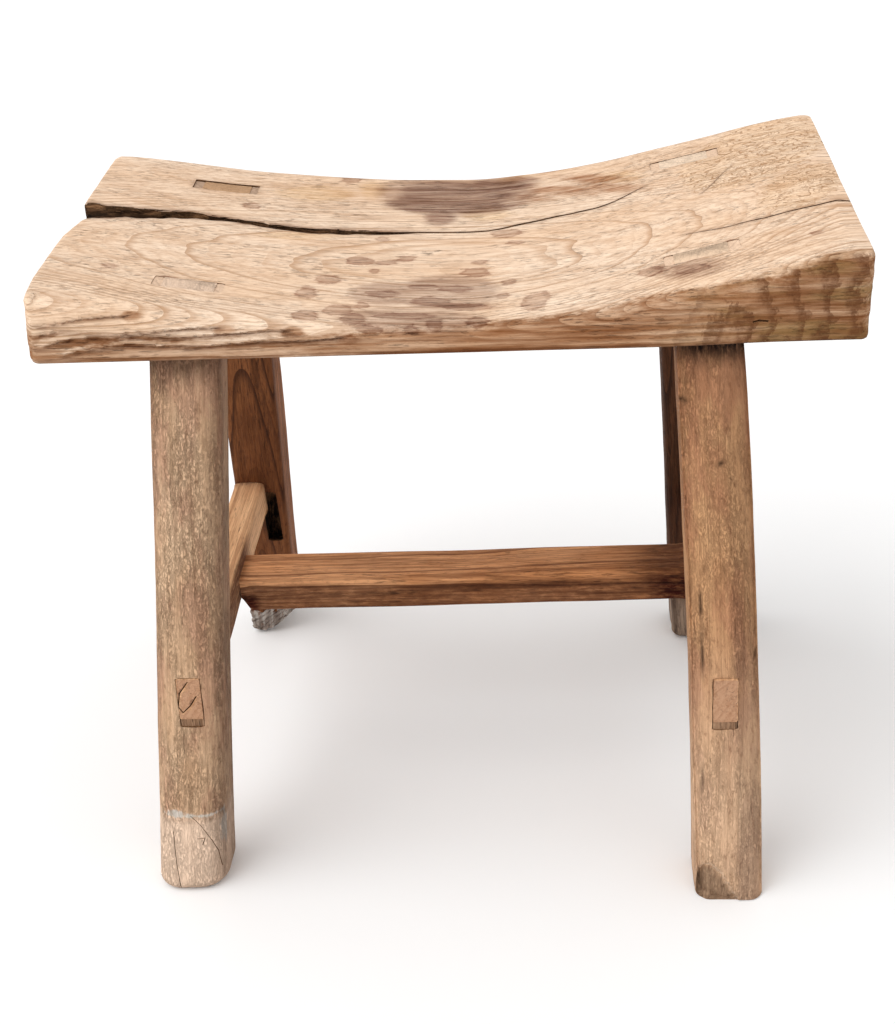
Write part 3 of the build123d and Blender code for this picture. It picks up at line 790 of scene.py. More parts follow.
def mortiseCutter(name, leg):
    below, thinnest = 6, 0.6
    return asCutter(leaningBlock(
        name, leg, np.linspace(underside - below, cutTop, 9),
        lambda z: joinery["tenonWidth"] / 2 + max(wedgeThickness(z), thinnest) + leg["seam"],
        joinery["tenonDepth"] / 2 + leg["seam"], lambda z: 0, leg["seed"] + 5))


# stains on the saddle, by the photo's pixels: place, half width, half height
seatStains = {
    "bigStain": ((455, 195, 58, 13), (425, 203, 36, 8), (505, 183, 34, 8), (470, 207, 40, 5),
                 (440, 216, 16, 8)),
    "brownStain": ((560, 190, 44, 4), (610, 187, 30, 3.5), (590, 178, 36, 3), (545, 170, 16, 3),
                   (534, 197, 20, 3)),
    "spotStain": (
        (360, 260, 12, 4), (327, 279, 14, 4), (306, 291, 10, 6.5), (305, 314, 12, 5), (387, 262, 9, 2),
        (406, 258, 9, 2.5), (375, 270, 5, 2), (383, 238, 8, 2.5), (476, 272, 16, 4.5), (424, 286, 14, 3),
        (509, 281, 6, 3), (503, 294, 6, 2.5), (536, 299, 12, 9), (338, 309, 15, 6), (353, 317, 12, 5),
        (366, 327, 16, 5), (411, 327, 7, 5), (434, 323, 9, 4), (477, 320, 10, 4), (507, 233, 14, 4),
        (515, 241, 8, 2), (480, 261, 7, 2), (651, 271, 10, 4), (691, 268, 17, 4.5), (816, 232, 7, 2.5),
        (729, 243, 7.5, 4), (170, 280, 9, 5), (214, 287, 7, 4), (110, 264, 9, 2.5), (351, 179, 10, 3),
        (403, 315, 30, 4), (462, 306, 30, 3), (385, 293, 18, 3), (430, 300, 16, 4), (455, 288, 18, 4),
        (362, 304, 9, 4), (522, 330, 12, 2.4), (251, 205, 8, 3), (400, 174, 14, 2.5),
    ),
    "greyStain": ((447, 292, 52, 18), (385, 293, 36, 12), (455, 196, 80, 18), (690, 268, 34, 10),
                  (410, 318, 70, 12)),
    "yellowStain": ((373, 190, 14, 8), (318, 193, 40, 7), (486, 213, 24, 6), (512, 176, 14, 7),
                    (555, 168, 14, 3), (300, 235, 34, 4), (620, 176, 20, 4)),
    "burlStain": ((755, 150, 62, 30), (800, 185, 36, 20), (706, 166, 22, 8)),
}


# 0 far outside, 0.5 on the outline, up to 1 inside
def stainValue(p, spots):
    best = np.full(len(p), -9.0)
    for u, v, across, high in spots:
        middle, side, back = seatPoint(u, v), seatPoint(u + across, v), seatPoint(u, v - high)
        rx, ry = np.hypot(*(side - middle)), np.hypot(*(back - middle))
        tilt = math.atan2(side[1] - middle[1], side[0] - middle[0])
        dx, dy = (p[:, :2] - middle).T
        ex = (dx * math.cos(tilt) + dy * math.sin(tilt)) / rx
        ey = (dy * math.cos(tilt) - dx * math.sin(tilt)) / ry
        best = np.maximum(best, (1 - np.hypot(ex, ey)) * min(rx, ry))
    softness = 12
    return np.clip(0.5 + best / softness, 0, 1)


# the front's brown band: X and the height of its upper edge over the underside
frontBand = ((-250, 27), (-225, 26.2), (-202, 23.5), (-179, 26.5), (-142, 20.5), (-112, 20.5), (-83, 18.5),
             (-53, 17.5), (-23, 18.1), (6, 19.1), (35, 21.5), (64, 24.5), (93, 28.5), (122, 35.5),
             (150, 39.5), (179, 44.5), (206, 49.5), (234, 56.5), (250, 58))


# how it fades and frays, how much of it shows along X, and the pale wood over each split
frontStain = {"softness": 16, "rough": (((24, 90, 90), 2.2, 14),),
              "strength": ((-225, 0.8), (-175, 0.68), (-95, 0.68), (-45, 0.9)),
              "bareHeight": 2.6, "bareWidth": 2.4, "bareShare": 0.5, "bareFrom": (80, 150),
              "face": (118, 128), "frontHalf": (60, 90),
              # the darker brown of the middle: where it starts and stops along X, and its share beyond
              "middle": (-105, -40), "middleStop": (150, 50), "beyond": 0.35, "later": 0.05,
              "tipWidth": 12, "tipHeight": 6, "tipShift": 2, "tipStrength": 1.3}
# at the right end brown and sawn wood start along slanted lines: X, slope, over how many millimetres
rightEnd = {"brown": (150, 0.9, 90), "sawnSlope": 0.5, "sawn": (105, 170), "sawnUnderBand": (-3, 3)}
# dirt, and painted shadow along the splits: how dark, and over how many millimetres it fades
seatDirtAndShade = {"bigCrack": (0.8, 2.5), "fineCrack": (0.55, 1.8), "overSplit": (0.95, 0.5),
            "underSplit": (0.95, 1.8), "under": 0.55, "backEdge": 0.5, "seam": 1.1,
            "backEdgeRough": (((16, 16, 16), 0.3, 15),), "crackRough": (((7, 7, 3), 2.5, 11),),
            "leftPart": (10, 40), "lineEnds": 3, "underFade": (-4.5, -0.5), "backEdgeTop": (14, 2),
            "backEdgeFade": (4.5, 1.5), "seamRough": 0.4}
# which faces are inside the big crack: how near it, how deep, how steep, between which X, and how the painted
# shade darkens them
crackInside = {"near": 2.4, "deep": 2.2, "steep": 0.7, "fromEnd": 2.5, "until": -14, "darken": (2, 10)}


def fading(distance, kind):
    dark, reach = seatDirtAndShade[kind]
    return dark * np.exp(-distance / reach)


def paintFront(seat, p):
    x, y = p[:, :2].T
    seen, stain = seenHeight(p), frontStain
    onFront, frontHalf = (stepUp(-y, *stain[kind]) for kind in ("face", "frontHalf"))
    band = readOff(frontBand, x) + layered(p, stain["rough"])
    bare, tips = np.zeros(len(p)), np.zeros(len(p))
    for over, counts in splitReach(p):
        pale = np.exp(-((over - stain["bareHeight"]) / stain["bareWidth"]) ** 2)
        bare = np.maximum(bare, counts * np.where(over > 0, pale, 0))
    bare *= stepUp(-x, *stain["bareFrom"])
    brown = np.clip(0.5 + (band - seen) / stain["softness"], 0, 1) * readOff(stain["strength"], x)
    keepValue(seat, "frontBand", brown * frontHalf * (1 - stain["bareShare"] * bare))
    stop, over = stain["middleStop"]
    middle = stepUp(x, *stain["middle"]) * stepUp(stop - x, 0, over)
    middle = stain["beyond"] + (1 - stain["beyond"]) * middle
    keepValue(seat, "frontMiddle", np.clip(brown - stain["later"], 0, 1) * frontHalf * middle)
    for line in splits:
        tipX, tipZ = planePoint(*line[-1], seatLow[1])
        aside, over = x - tipX + stain["tipShift"], seen - tipZ + underside + stain["tipShift"]
        tips = np.maximum(tips, 1 - np.hypot(aside / stain["tipWidth"], over / stain["tipHeight"]))
    keepValue(seat, "tipStain", np.clip(tips * stain["tipStrength"], 0, 1) * frontHalf)
    start, slope, over = rightEnd["brown"]
    keepValue(seat, "brownEnd", np.clip(0.5 + (x - start - slope * seen) / over, 0, 1) * onFront)
    sawn = stepUp(x - rightEnd["sawnSlope"] * seen, *rightEnd["sawn"])
    keepValue(seat, "endGrain", sawn * onFront * stepUp(band - seen, *rightEnd["sawnUnderBand"]))


# dirt along the cracks, in the tenons' seams and along the back's upper edge; darker on the underside;
# painted shadow at the splits and painted shade inside the big crack
def seatGrimeAndShade(p, n, depth, onTop):
    x, y, z = p.T
    away = fromBigCrack(p)
    grime = fading(np.maximum(away, 0), "bigCrack") * stepUp(-x, *seatDirtAndShade["leftPart"])
    for crack in fineCracks:
        line, ends = crack["line"], seatDirtAndShade["lineEnds"]
        inside = (x > line[0][0] - ends) & (x < line[-1][0] + ends)
        grime = np.maximum(grime, fading(np.abs(y - readOff(line, x)), "fineCrack") * inside)
    # painted shadow at each split, reaching further below it, under the layer that overhangs
    for over, counts in splitReach(p):
        near = np.where(over > 0, fading(np.abs(over), "overSplit"), fading(np.abs(over), "underSplit"))
        grime = np.maximum(grime, counts * near)
    # painted shade inside the crack: brown at the lip and nearly black below
    wall = crackInside
    inCrack = (away < wall["near"]) & (depth > wall["deep"]) & (np.abs(n[:, 2]) < wall["steep"])
    inCrack &= (x < wall["until"]) & (x > seatLow[0] + wall["fromEnd"])
    dark = stepUp(depth + layered(p, seatDirtAndShade["crackRough"]), *wall["darken"])
    grime = np.where(inCrack, dark, grime)
    under = stepUp(underside - z, *seatDirtAndShade["underFade"]) * seatDirtAndShade["under"]
    start, full = (seatHigh[1] - inset for inset in seatDirtAndShade["backEdgeFade"])
    backEdge = stepUp(y, start, full) * stepUp(depth, *seatDirtAndShade["backEdgeTop"])
    backEdge *= seatDirtAndShade["backEdge"] + layered(p, seatDirtAndShade["backEdgeRough"])
    grime = largest(grime, under, backEdge)
    for leg in legs.values():
        middleX, middleY = tenonMiddle(leg, z)
        beside = np.abs(x - middleX) - joinery["tenonWidth"] / 2 - wedgeThickness(z)
        before = np.abs(y - middleY) - joinery["tenonDepth"] / 2
        seam = np.exp(-np.hypot(np.maximum(beside, 0), np.maximum(before, 0)) / seatDirtAndShade["seam"])
        rough = 1 - seatDirtAndShade["seamRough"] + seatDirtAndShade["seamRough"] * softNoise(p, (3, 3, 3), leg["seed"] + 3)
        grime = np.maximum(grime, leg["seamDirt"] * rough * seam * onTop)
    return grime


def paintSeat(seat):
    p, n = places(seat), normals(seat)
    depth = saddle(p[:, 0]) - p[:, 2]
    onTop = stepUp(depth, 7, 3)
    keepValue(seat, "grainPlace", p * mm)
    for stain, spots in seatStains.items():
        keepValue(seat, stain, stainValue(p, spots) * onTop)
    keepValue(seat, "burl", stainValue(p, seatStains["burlStain"]) * onTop)
    paintFront(seat, p)
    keepValue(seat, "grime", np.clip(seatGrimeAndShade(p, n, depth, onTop), 0, 1))


# splinters that still hold along the crack's lips, in millimetres
splinters = {"spacing": 4.6, "length": 6.5, "thickness": 0.42, "lean": 0.22, "scatter": 0.7, "bend": 1.4,
             "seed": 17}


# the lines they stand on: how far under the saddle, and how far inside the lip
splinterLines = {"back": ((2.2, 5.0, 9.0), -0.2), "front": ((2.6,), 0.1)}
splinterForm = {"sides": 5, "tip": 0.00008, "smallest": (0.6, 0.6, 0.35), "largest": (1.3, 1.0, 1.5),
                "crooks": 260.0}


# nodes that lay splinters along a line and crook them a little; lengths are in metres
def splinterTree():
    tree = bpy.data.node_groups.new("lipSplinters", "GeometryNodeTree")
    tree.is_modifier = True
    sockets = {}

    def addSocket(name, kind, way="INPUT"):
        return tree.interface.new_socket(name=name, in_out=way, socket_type="NodeSocket" + kind).identifier

    addSocket("Geometry", "Geometry")
    for name in ("spacing", "length", "thickness", "lean", "scatter", "bend"):
        sockets[name] = addSocket(name, "Float")
    sockets["seed"] = addSocket("seed", "Int")
    addSocket("Geometry", "Geometry", "OUTPUT")

    given = tree.nodes.new("NodeGroupInput").outputs
    s, form = Nodes(tree), splinterForm

    def vector(operation, inputs):
        return s.node("ShaderNodeVectorMath", inputs, operation=operation)

    def between(low, high, seed):
        return s.node("FunctionNodeRandomValue", {"Min": low, "Max": high, "Seed": seed},
                      data_type="FLOAT_VECTOR")

    # a random vector from -size to size
    def around(size, step):
        seed = s.node("ShaderNodeMath", {0: given["seed"], 1: step}, operation="ADD")
        return vector("SCALE", {0: between((-1.0, -1.0, -1.0), (1.0, 1.0, 1.0), seed), "Scale": size})

    line = s.node("GeometryNodeMeshToCurve", {"Mesh": given["Geometry"]})
    spots = s.node("GeometryNodeCurveToPoints", {"Curve": line, "Length": given["spacing"]}, mode="LENGTH")
    aside, lean = around(given["scatter"], 1.0), around(given["lean"], 2.0)
    moved = s.node("GeometryNodeSetPosition", {"Geometry": spots, "Offset": aside})
    along = vector("ADD", {0: spots.node.outputs["Tangent"], 1: lean})
    splinter = s.node("GeometryNodeMeshCone", {
        "Vertices": form["sides"], "Side Segments": 5, "Radius Bottom": given["thickness"],
        "Radius Top": form["tip"], "Depth": given["length"]})
    laid = s.node("GeometryNodeInstanceOnPoints", {
        "Points": moved, "Instance": splinter,
        "Rotation": s.node("FunctionNodeAlignRotationToVector", {"Vector": along}, axis="Z"),
        "Scale": between(form["smallest"], form["largest"], given["seed"])})
    real = s.node("GeometryNodeRealizeInstances", {"Geometry": laid})
    crook = s.node("ShaderNodeTexNoise", {"Scale": form["crooks"], "Detail": 2.0}, "Color")
    crook = vector("SUBTRACT", {0: crook, 1: (0.5, 0.5, 0.5)})
    crook = vector("SCALE", {0: crook, "Scale": given["bend"]})
    bent = s.node("GeometryNodeSetPosition", {"Geometry": real, "Offset": crook})
    done = s.node("GeometryNodeSetMaterial", {"Geometry": bent, "Material": crackWood})
    s.put(done, tree.nodes.new("NodeGroupOutput").inputs["Geometry"])
    return tree, sockets


def lipSplinters():
    verts, edges = [], []
    xs = np.arange(-236, -30, 3.0)
    for side, (drops, inwards) in splinterLines.items():
        for drop in drops:
            edges += [(len(verts) + i, len(verts) + i + 1) for i in range(len(xs) - 1)]
            verts += rows(xs, readOff(bigCrack[side], xs) + inwards, saddle(xs) - drop).tolist()
    mesh = bpy.data.meshes.new("lipSplinters")
    mesh.from_pydata((np.array(verts) * mm).tolist(), edges, [])
    piece = bpy.data.objects.new("lipSplinters", mesh)
    bpy.context.scene.collection.objects.link(piece)
    tree, sockets = splinterTree()
    nodes = piece.modifiers.new("splinters", "NODES")
    nodes.node_group = tree
    for name, value in splinters.items():
        nodes[sockets[name]] = value if name in ("lean", "seed") else value * mm
    applyModifiers(piece)
    return piece


def joinInto(piece, other):
    both = [piece, other]
    with bpy.context.temp_override(active_object=piece, selected_objects=both,
                                   selected_editable_objects=both):
        bpy.ops.object.join()


seat = seatGrid()
seat.data.materials.append(woodMaterial("seatWood", seatLook))
wearSeat(seat)
mortises = [mortiseCutter(name + "Mortise", leg) for name, leg in legs.items()]
cutAway(seat, crackCutters() + bladeCutters("frontNick", frontNick, seatLow[1]) + mortises)
joinInto(seat, lipSplinters())
paintSeat(seat)
handOver(seat, "seat_wood", "seat")

# legs
legLooks = {
    "leg_front_left": {
        "pale": colour(241, 204, 167), "warm": colour(220, 177, 139), "dark": colour(132, 95, 66),
        "deep": colour(84, 56, 36), "grimeAndShadeTint": colour(80, 48, 30), "bleachTint": colour(255, 222, 194),
        "blushTint": colour(204, 156, 128), "mottle": 0.4, "dash": (60.0, 420.0, 420.0),
        "pith": (52, 24), "ringGap": 4.2, "wander": 7, "rings": 0.2, "streaks": 0.2, "fibres": 0.25,
        "pores": 0.4, "flecks": 0.6, "rough": 0.82, "bump": 0.9,
    },
    "leg_front_right": {
        "pale": colour(220, 170, 124), "warm": colour(196, 144, 102), "dark": colour(130, 84, 55),
        "deep": colour(74, 42, 25), "grimeAndShadeTint": colour(36, 17, 8), "bleachTint": colour(255, 221, 188),
        "blushTint": colour(182, 126, 94), "mottle": 0.35, "dash": (60.0, 420.0, 420.0),
        "pith": (-46, 34), "ringGap": 4.6, "wander": 8, "rings": 0.15, "streaks": 0.2, "fibres": 0.2,
        "pores": 0.35, "flecks": 0.5, "rough": 0.78, "bump": 0.8,
    },
    "leg_back_left": {
        "pale": colour(164, 104, 62), "warm": colour(128, 76, 42), "dark": colour(58, 28, 13),
        "deep": colour(26, 13, 8), "grimeAndShadeTint": colour(64, 38, 24), "bleachTint": colour(201, 159, 121),
        "flakeTint": colour(168, 156, 146),
        "pith": (-2, 9), "ringGap": 2.6, "wander": 6, "rings": 0.85, "streaks": 0.4, "fibres": 0.4,
        "pores": 0.6, "flecks": 0.4, "rough": 0.72, "bump": 0.8,
    },
    "leg_back_right": {
        "pale": colour(110, 70, 44), "warm": colour(84, 50, 31), "dark": colour(44, 23, 13),
        "deep": colour(24, 13, 8), "grimeAndShadeTint": colour(64, 38, 24), "bleachTint": colour(250, 222, 194),
        "pith": (8, 12), "ringGap": 2.8, "wander": 7, "rings": 0.7, "streaks": 0.5, "fibres": 0.5,
        "pores": 0.6, "flecks": 0.4, "rough": 0.74, "bump": 0.8,
    },
}
# how far the fibres run out of each leg, in millimetres for each millimetre of height
fibreLean = {"legFrontLeft": 0.03, "legFrontRight": 0.04, "legBackLeft": -0.06, "legBackRight": -0.05}


legGrid = {"around": 88, "toeLevels": 7, "footHigh": 40, "footStep": 1.8, "step": 3.4}
tenonShares = (0.0, 0.02, 0.15, 0.4, 0.7, 0.9, 1.0)


def hewnLeg(name, leg):
    grid, toe, halfDepth = legGrid, leg["toe"], joinery["legDepth"] / 2
    low = toe * (1 - np.cos(np.linspace(0, math.pi / 2, grid["toeLevels"])))
    levels = np.concatenate([low, np.arange(low[-1] + grid["footStep"], grid["footHigh"], grid["footStep"]),
                             np.arange(grid["footHigh"] + 1, underside - 2, grid["step"]), [underside]])
    rings = []
    for z in levels:
        width = leg["widths"][1] + (leg["widths"][0] - leg["widths"][1]) * z / underside
        inset = toe - math.sqrt(max(toe**2 - (toe - min(z, toe)) ** 2, 0))
        section = roundedSection(width / 2, halfDepth, leg["rounds"], grid["around"])
        # the front swells a little between its corners
        swell = leg["bulge"] * np.clip(1 - (section[:, 0] / (width / 2)) ** 2, 0, 1)
        section[:, 1] -= (section[:, 1] < 0) * swell
        section *= 1 - inset / halfDepth
        x, y = legAxis(leg, z)
        rings.append(rows(section[:, 0] + x, section[:, 1] + y, z))
    # shoulder, then the tenon up to the saddle
    section = roundedSection(joinery["tenonWidth"] / 2, joinery["tenonDepth"] / 2, joinery["tenonRound"],
                             grid["around"])
    for share in tenonShares:
        z = np.full(len(section), underside + 10.0)
        for _ in range(6):
            x, y = tenonMiddle(leg, z)
            top = saddle(section[:, 0] + x)
            top = top + worn(rows(section[:, 0] + x, section[:, 1] + y, top), "top") + leg["proud"]
            z = underside + share * (top - underside)
        rings.append(rows(section[:, 0] + x, section[:, 1] + y, z))
    return ringStack(name, rings)


# drying cracks in the front left foot, by the photo's pixels on an upright plane
footCracks = {
    "plane": -168, "width": 0.5, "depth": 6, "out": 8,
    "lines": (
        ((173.3, 833), (175, 846), (177, 858), (183, 883)), ((197.7, 839), (205, 838.5), (203, 844)),
        ((190, 819), (200, 826.7), (206, 834), (212, 842), (218, 853), (221.7, 868)),
    ),
}
# the front right leg: hewn back in its front right third, narrower to the left under the seat (height, by how
# much), and chipped at the foot under an arch (X, height)
frontRight = {
    "thirdFrom": 6.5, "thirdSlope": 0.28, "leftFrom": 10, "leftSlope": 0.42,
    "slimmer": ((0, 0), (120, 0.4), (220, 0.9), (388, 3.0)),
    "arch": ((152, 4), (156, 19), (160.5, 27), (164.5, 29), (171.5, 23), (183.5, 0), (187, -6)),
    "chipDeep": 4.8, "chipSlope": 1.1,
}
# the back left foot is broken off aslant: place across the leg, and how high the break is there
backLeft = {
    "lift": ((-22, 9), (-18, 5), (-9, 0), (-1, 4), (9, 15), (22, 25)),
    "liftRough": (((4, 6, 9), 2.4, 76), ((1.8, 3, 9), 1.2, 77)), "liftReach": 42,
    "layer": 5.2, "layerSlope": 0.62, "layerRough": (((9, 9, 9), 3.2, 79),), "layerDeep": 1.5,
    "worn": 16, "wornRough": (((7, 7, 7), 8, 75),), "wornDeep": 1.4, "wornDeepRough": (((4, 4, 4), 1, 76),),
}


# how far a place lies under the arch of the chip
def underArch(p):
    return readOff(frontRight["arch"], p[:, 0]) - p[:, 2]


def brokenFoot(p, across):
    sideways = p * np.array([1.0, 1.0, 0.0])
    return np.maximum(readOff(backLeft["lift"], across) + layered(sideways, backLeft["liftRough"]), 0)


# 0 to 1 across each of the layers that lie bare at the broken foot, which slope as the break does
def footLayers(p, across):
    slope, rough = backLeft["layerSlope"], layered(p, backLeft["layerRough"])
    return ((p[:, 2] - slope * across + rough) / backLeft["layer"]) % 1


def hewFrontRight(p, n, local, body, seed):
    hewn, front = frontRight, stepUp(-n[:, 1], 0.2, 0.7)
    p[:, 0] += np.clip(-local[:, 0] / 22, 0, 1) * readOff(hewn["slimmer"], p[:, 2]) * body
    p[:, 1] += front * np.maximum(local[:, 0] - hewn["thirdFrom"], 0) * hewn["thirdSlope"] * body
    p[:, 1] += front * np.maximum(-local[:, 0] - hewn["leftFrom"], 0) * hewn["leftSlope"] * body
    reach, rough = underArch(p), softNoise(p, (3, 3, 3), seed + 4)
    chip = np.clip(reach * hewn["chipSlope"] + rough, 0, hewn["chipDeep"] + rough)
    p[:, 1] += front * chip * (reach > -0.4)


def breakBackLeft(p, n, local):
    foot, sides = backLeft, np.abs(n[:, 2]) < 0.7
    broken = stepUp(foot["worn"] + layered(p, foot["wornRough"]) - p[:, 2], 0, 6)
    p += n * (-broken * (foot["wornDeep"] + layered(p, foot["wornDeepRough"])))[:, None] * sides[:, None]
    layer = footLayers(p, local[:, 0]) * stepUp(34 - p[:, 2], 0, 14) * sides
    p += n * (-foot["layerDeep"] * layer)[:, None]
    p[:, 2] += brokenFoot(p, local[:, 0]) * np.clip(1 - p[:, 2] / foot["liftReach"], 0, 1)


# flats and hollows left by the drawknife, worn corners, and what is hewn or broken off two of the legs
def hewLeg(piece, leg):
    p, n = places(piece), normals(piece)
    x, y = legAxis(leg, np.minimum(p[:, 2], underside))
    local = rows(p[:, 0] - x, p[:, 1] - y, p[:, 2])
    seed = leg["seed"]
    amount = layered(local, (((22, 22, 110), 0.8, seed), ((9, 9, 42), 0.35, seed + 1),
                             ((4, 4, 14), 0.14, seed + 2)))
    body = stepUp(underside - p[:, 2], 0.5, 6) * stepUp(p[:, 2], 0.2, 3)
    p += n * ((amount - 0.5) * body)[:, None]
    if piece.name == "legFrontRight":
        hewFrontRight(p, n, local, body, seed)
    if piece.name == "legBackLeft":
        breakBackLeft(p, n, local)
    movePlaces(piece, p)


# the end stretchers: place and height of the axis, and the legs that they join
rails = {
    "end_stretcher_left": {"x": -179.5, "z": 151.5, "legs": ("leg_front_left", "leg_back_left"), "seed": 90},
    "end_stretcher_right": {"x": 172.0, "z": 150.0, "legs": ("leg_front_right", "leg_back_right"),
                            "seed": 95},
}
railShape = {"width": 24, "height": 30, "round": 3, "tenon": 16, "tenonRound": 0.7, "wedgeHead": 6.4,
             "wedgeTip": 0.6, "wedgeAt": 136, "seam": 0.35, "wedgeLength": 38, "cutPast": 12,
             "around": 64, "tenonLevels": 12, "bodyLevels": 60}
# the older, wider mortise beside the left one, in the back left leg
pocket = {"x": -165.3, "z": 131, "halfWidth": 6.2, "halfHeight": 25.5, "round": 1.2, "faceAt": 130,
          "before": 12, "deep": 15}


# Y of a leg's outward (1) or inward (-1) face, away from the middle
def legFace(leg, z, out):
    away = math.copysign(1, leg["foot"][1])
    return legAxis(leg, z)[1] + out * away * joinery["legDepth"] / 2


def railWedgeDrop(leg, y):
    low = legFace(leg, railShape["wedgeAt"], 1)
    taper = (railShape["wedgeHead"] - railShape["wedgeTip"]) / joinery["legDepth"]
    return railShape["wedgeHead"] - taper * abs(low - y)


def railMortise(name, leg, rail):
    away, shape, thinnest = math.copysign(1, leg["foot"][1]), railShape, 0.3
    start, stop = (legFace(leg, rail["z"], out) + out * away * shape["cutPast"] for out in (1, -1))
    high = rail["z"] + shape["height"] / 2 + shape["seam"]
    rings = []
    for y in np.linspace(start, stop, 12):
        low = rail["z"] - shape["height"] / 2 - max(railWedgeDrop(leg, y), thinnest) - shape["seam"]
        section = roundedSection(shape["tenon"] / 2 + shape["seam"], (high - low) / 2, shape["tenonRound"],
                                 36)
        rings.append(rows(section[:, 0] + rail["x"], y, section[:, 1] + (high + low) / 2))
    rings = np.array(rings)
    flat = rings.reshape(-1, 3)
    for axis, step in ((0, 7), (2, 8)):
        flat[:, axis] += softNoise(flat, (5, 12, 5), leg["seed"] + step) * 0.35
    return asCutter(ringStack(name, rings))


def pocketCutter(leg):
    section = roundedSection(pocket["halfWidth"], pocket["halfHeight"], pocket["round"], 36)
    face = legFace(leg, pocket["faceAt"], -1)
    rings = [rows(section[:, 0] + pocket["x"], y, section[:, 1] + pocket["z"])
             for y in np.linspace(face - pocket["before"], face + pocket["deep"], 8)]
    return asCutter(ringStack("pocketCutter", rings))


# marks on the legs: X, Z, half width, half height
legMarks = {
    "legFrontRight": {
        "grime": ((143.2, 346, 3, 2), (166.5, 309, 2.2, 1.6), (155.5, 216, 1.1, 10), (190.7, 178.6, 1.6, 3),
                  (158.8, 96, 0.8, 13), (157, 184, 1.0, 20)),
    },
    "legFrontLeft": {
        "paint": ((-185, 61.3, 30, 1.8), (-166, 45, 6, 17), (-198, 63, 9, 4)),
    },
}
# dark shade on each leg: from how far right of the axis, to where, and how strong; then how low under the
# seat, and how dark
legShade = {
    "legFrontLeft": (10, 24, 0.6, 30, 0.75), "legFrontRight": (3, 9, 0.26, 24, 1.0),
    "legBackLeft": (60, 70, 0.0, 30, 0.75), "legBackRight": (60, 70, 0.0, 30, 0.75),
}
# bleached feet: how high, over how many millimetres it fades, how strong, and how much more on the front
footBleach = {"legFrontLeft": (66, 12, 0.96, 0), "legFrontRight": (230, 170, 0.5, 0),
              "legBackRight": (70, 50, 0.16, 0.28)}
# dirt at the foot (how high, over how much, how strong) and darker on the inner face (from, to, how strong);
# where the chip is dark and its rim pale; the back left leg's break, pale below and dark between its layers;
# and the margin of the older mortise, which is painted dark inside as shade
legDirtAndShade = {"foot": (10, 9, 0.35), "inner": (12, 22, 0.35), "marks": 0.95, "rough": 4,
           "chip": (5, 8, 0.52), "rim": (-1, 1, 0.95), "rimWidth": (6, 2),
           "pale": (30, 12), "paleRough": 8, "layers": (44, 14), "layerDark": (0.62, 0.95, 0.9),
           "pocketMargin": 0.8}


def paintLeg(piece, leg):
    p, n = places(piece), normals(piece)
    x, y = legAxis(leg, np.minimum(p[:, 2], underside))
    out = p[:, 1] - y + fibreLean[piece.name] * (p[:, 2] - 200)
    keepValue(piece, "grainPlace", rows(p[:, 2], p[:, 0] - x, out) * mm)

    def markValue(kind):
        best = np.full(len(p), -1.0)
        for markX, markZ, across, high in legMarks.get(piece.name, {}).get(kind, ()):
            best = np.maximum(best, 1.4 - np.hypot((p[:, 0] - markX) / across, (p[:, 2] - markZ) / high))
        return np.clip(best, 0, 1) * (n[:, 1] < -0.3)

    # painted shadow under the seat and painted shade on the leg's right side, joined with the dirt
    start, full, strength, low, dark = legShade[piece.name]
    below = p[:, 2] < underside + 0.5
    rough = softNoise(p, (8, 8, 12), leg["seed"] + 11) * legDirtAndShade["rough"]
    under = stepUp(p[:, 2] + rough, underside - low, underside - low * 0.2) * dark * below
    shade = stepUp(p[:, 0] - x, start, full) * strength * below
    height, over, strong = legDirtAndShade["foot"]
    foot = stepUp(height - p[:, 2], 0, over) * strong
    start, full, strong = legDirtAndShade["inner"]
    inner = stepUp((p[:, 1] - y) * -math.copysign(1, leg["foot"][1]), start, full) * strong
    grime = largest(under, shade, foot, markValue("grime") * legDirtAndShade["marks"], inner)
    paint = markValue("paint")
    high, fade, strength, frontMore = footBleach.get(piece.name, (0, 1, 0, 0))
    footward = stepUp(high - p[:, 2], 0, fade) * (strength + frontMore * stepUp(y - p[:, 1], -10, 10))
    if piece.name == "legFrontRight":
        # the chip is dark, with a pale rim
        reach, inFront = underArch(p), n[:, 1] < -0.2
        start, full, strong = legDirtAndShade["chip"]
        grime = np.maximum(grime, stepUp(reach, start, full) * strong * inFront)
        start, full, strong = legDirtAndShade["rim"]
        width, over = legDirtAndShade["rimWidth"]
        rim = stepUp(reach, start, full) * stepUp(width - reach, 0, over) * strong
        footward = np.maximum(footward, rim * inFront)
    if piece.name == "legBackLeft":
        # the break is pale, with dark between its layers, and the older mortise is painted dark inside as
        # shade
        lift = brokenFoot(p, p[:, 0] - x)
        (height, over), (top, fade) = legDirtAndShade["pale"], legDirtAndShade["layers"]
        paint = stepUp(lift + height + softNoise(p, (3, 3, 5), 78) * legDirtAndShade["paleRough"] - p[:, 2], 0, over)
        start, full, strong = legDirtAndShade["layerDark"]
        layer = stepUp(footLayers(p, p[:, 0] - x) * stepUp(top - p[:, 2], 0, fade), start, full) * strong
        margin, inward = legDirtAndShade["pocketMargin"], p[:, 1] - legFace(leg, p[:, 2], -1)
        inPocket = (np.abs(p[:, 0] - pocket["x"]) < pocket["halfWidth"] + margin)
        inPocket &= (np.abs(p[:, 2] - pocket["z"]) < pocket["halfHeight"] + margin)
        grime = largest(grime, layer, inPocket * (inward > margin) * (inward < pocket["deep"] + 2))
    keepValue(piece, "grime", np.clip(grime, 0, 1))
    keepValue(piece, "paint", paint)
    keepValue(piece, "bleached", np.maximum(stepUp(p[:, 2], underside + 4, underside + 8), footward))


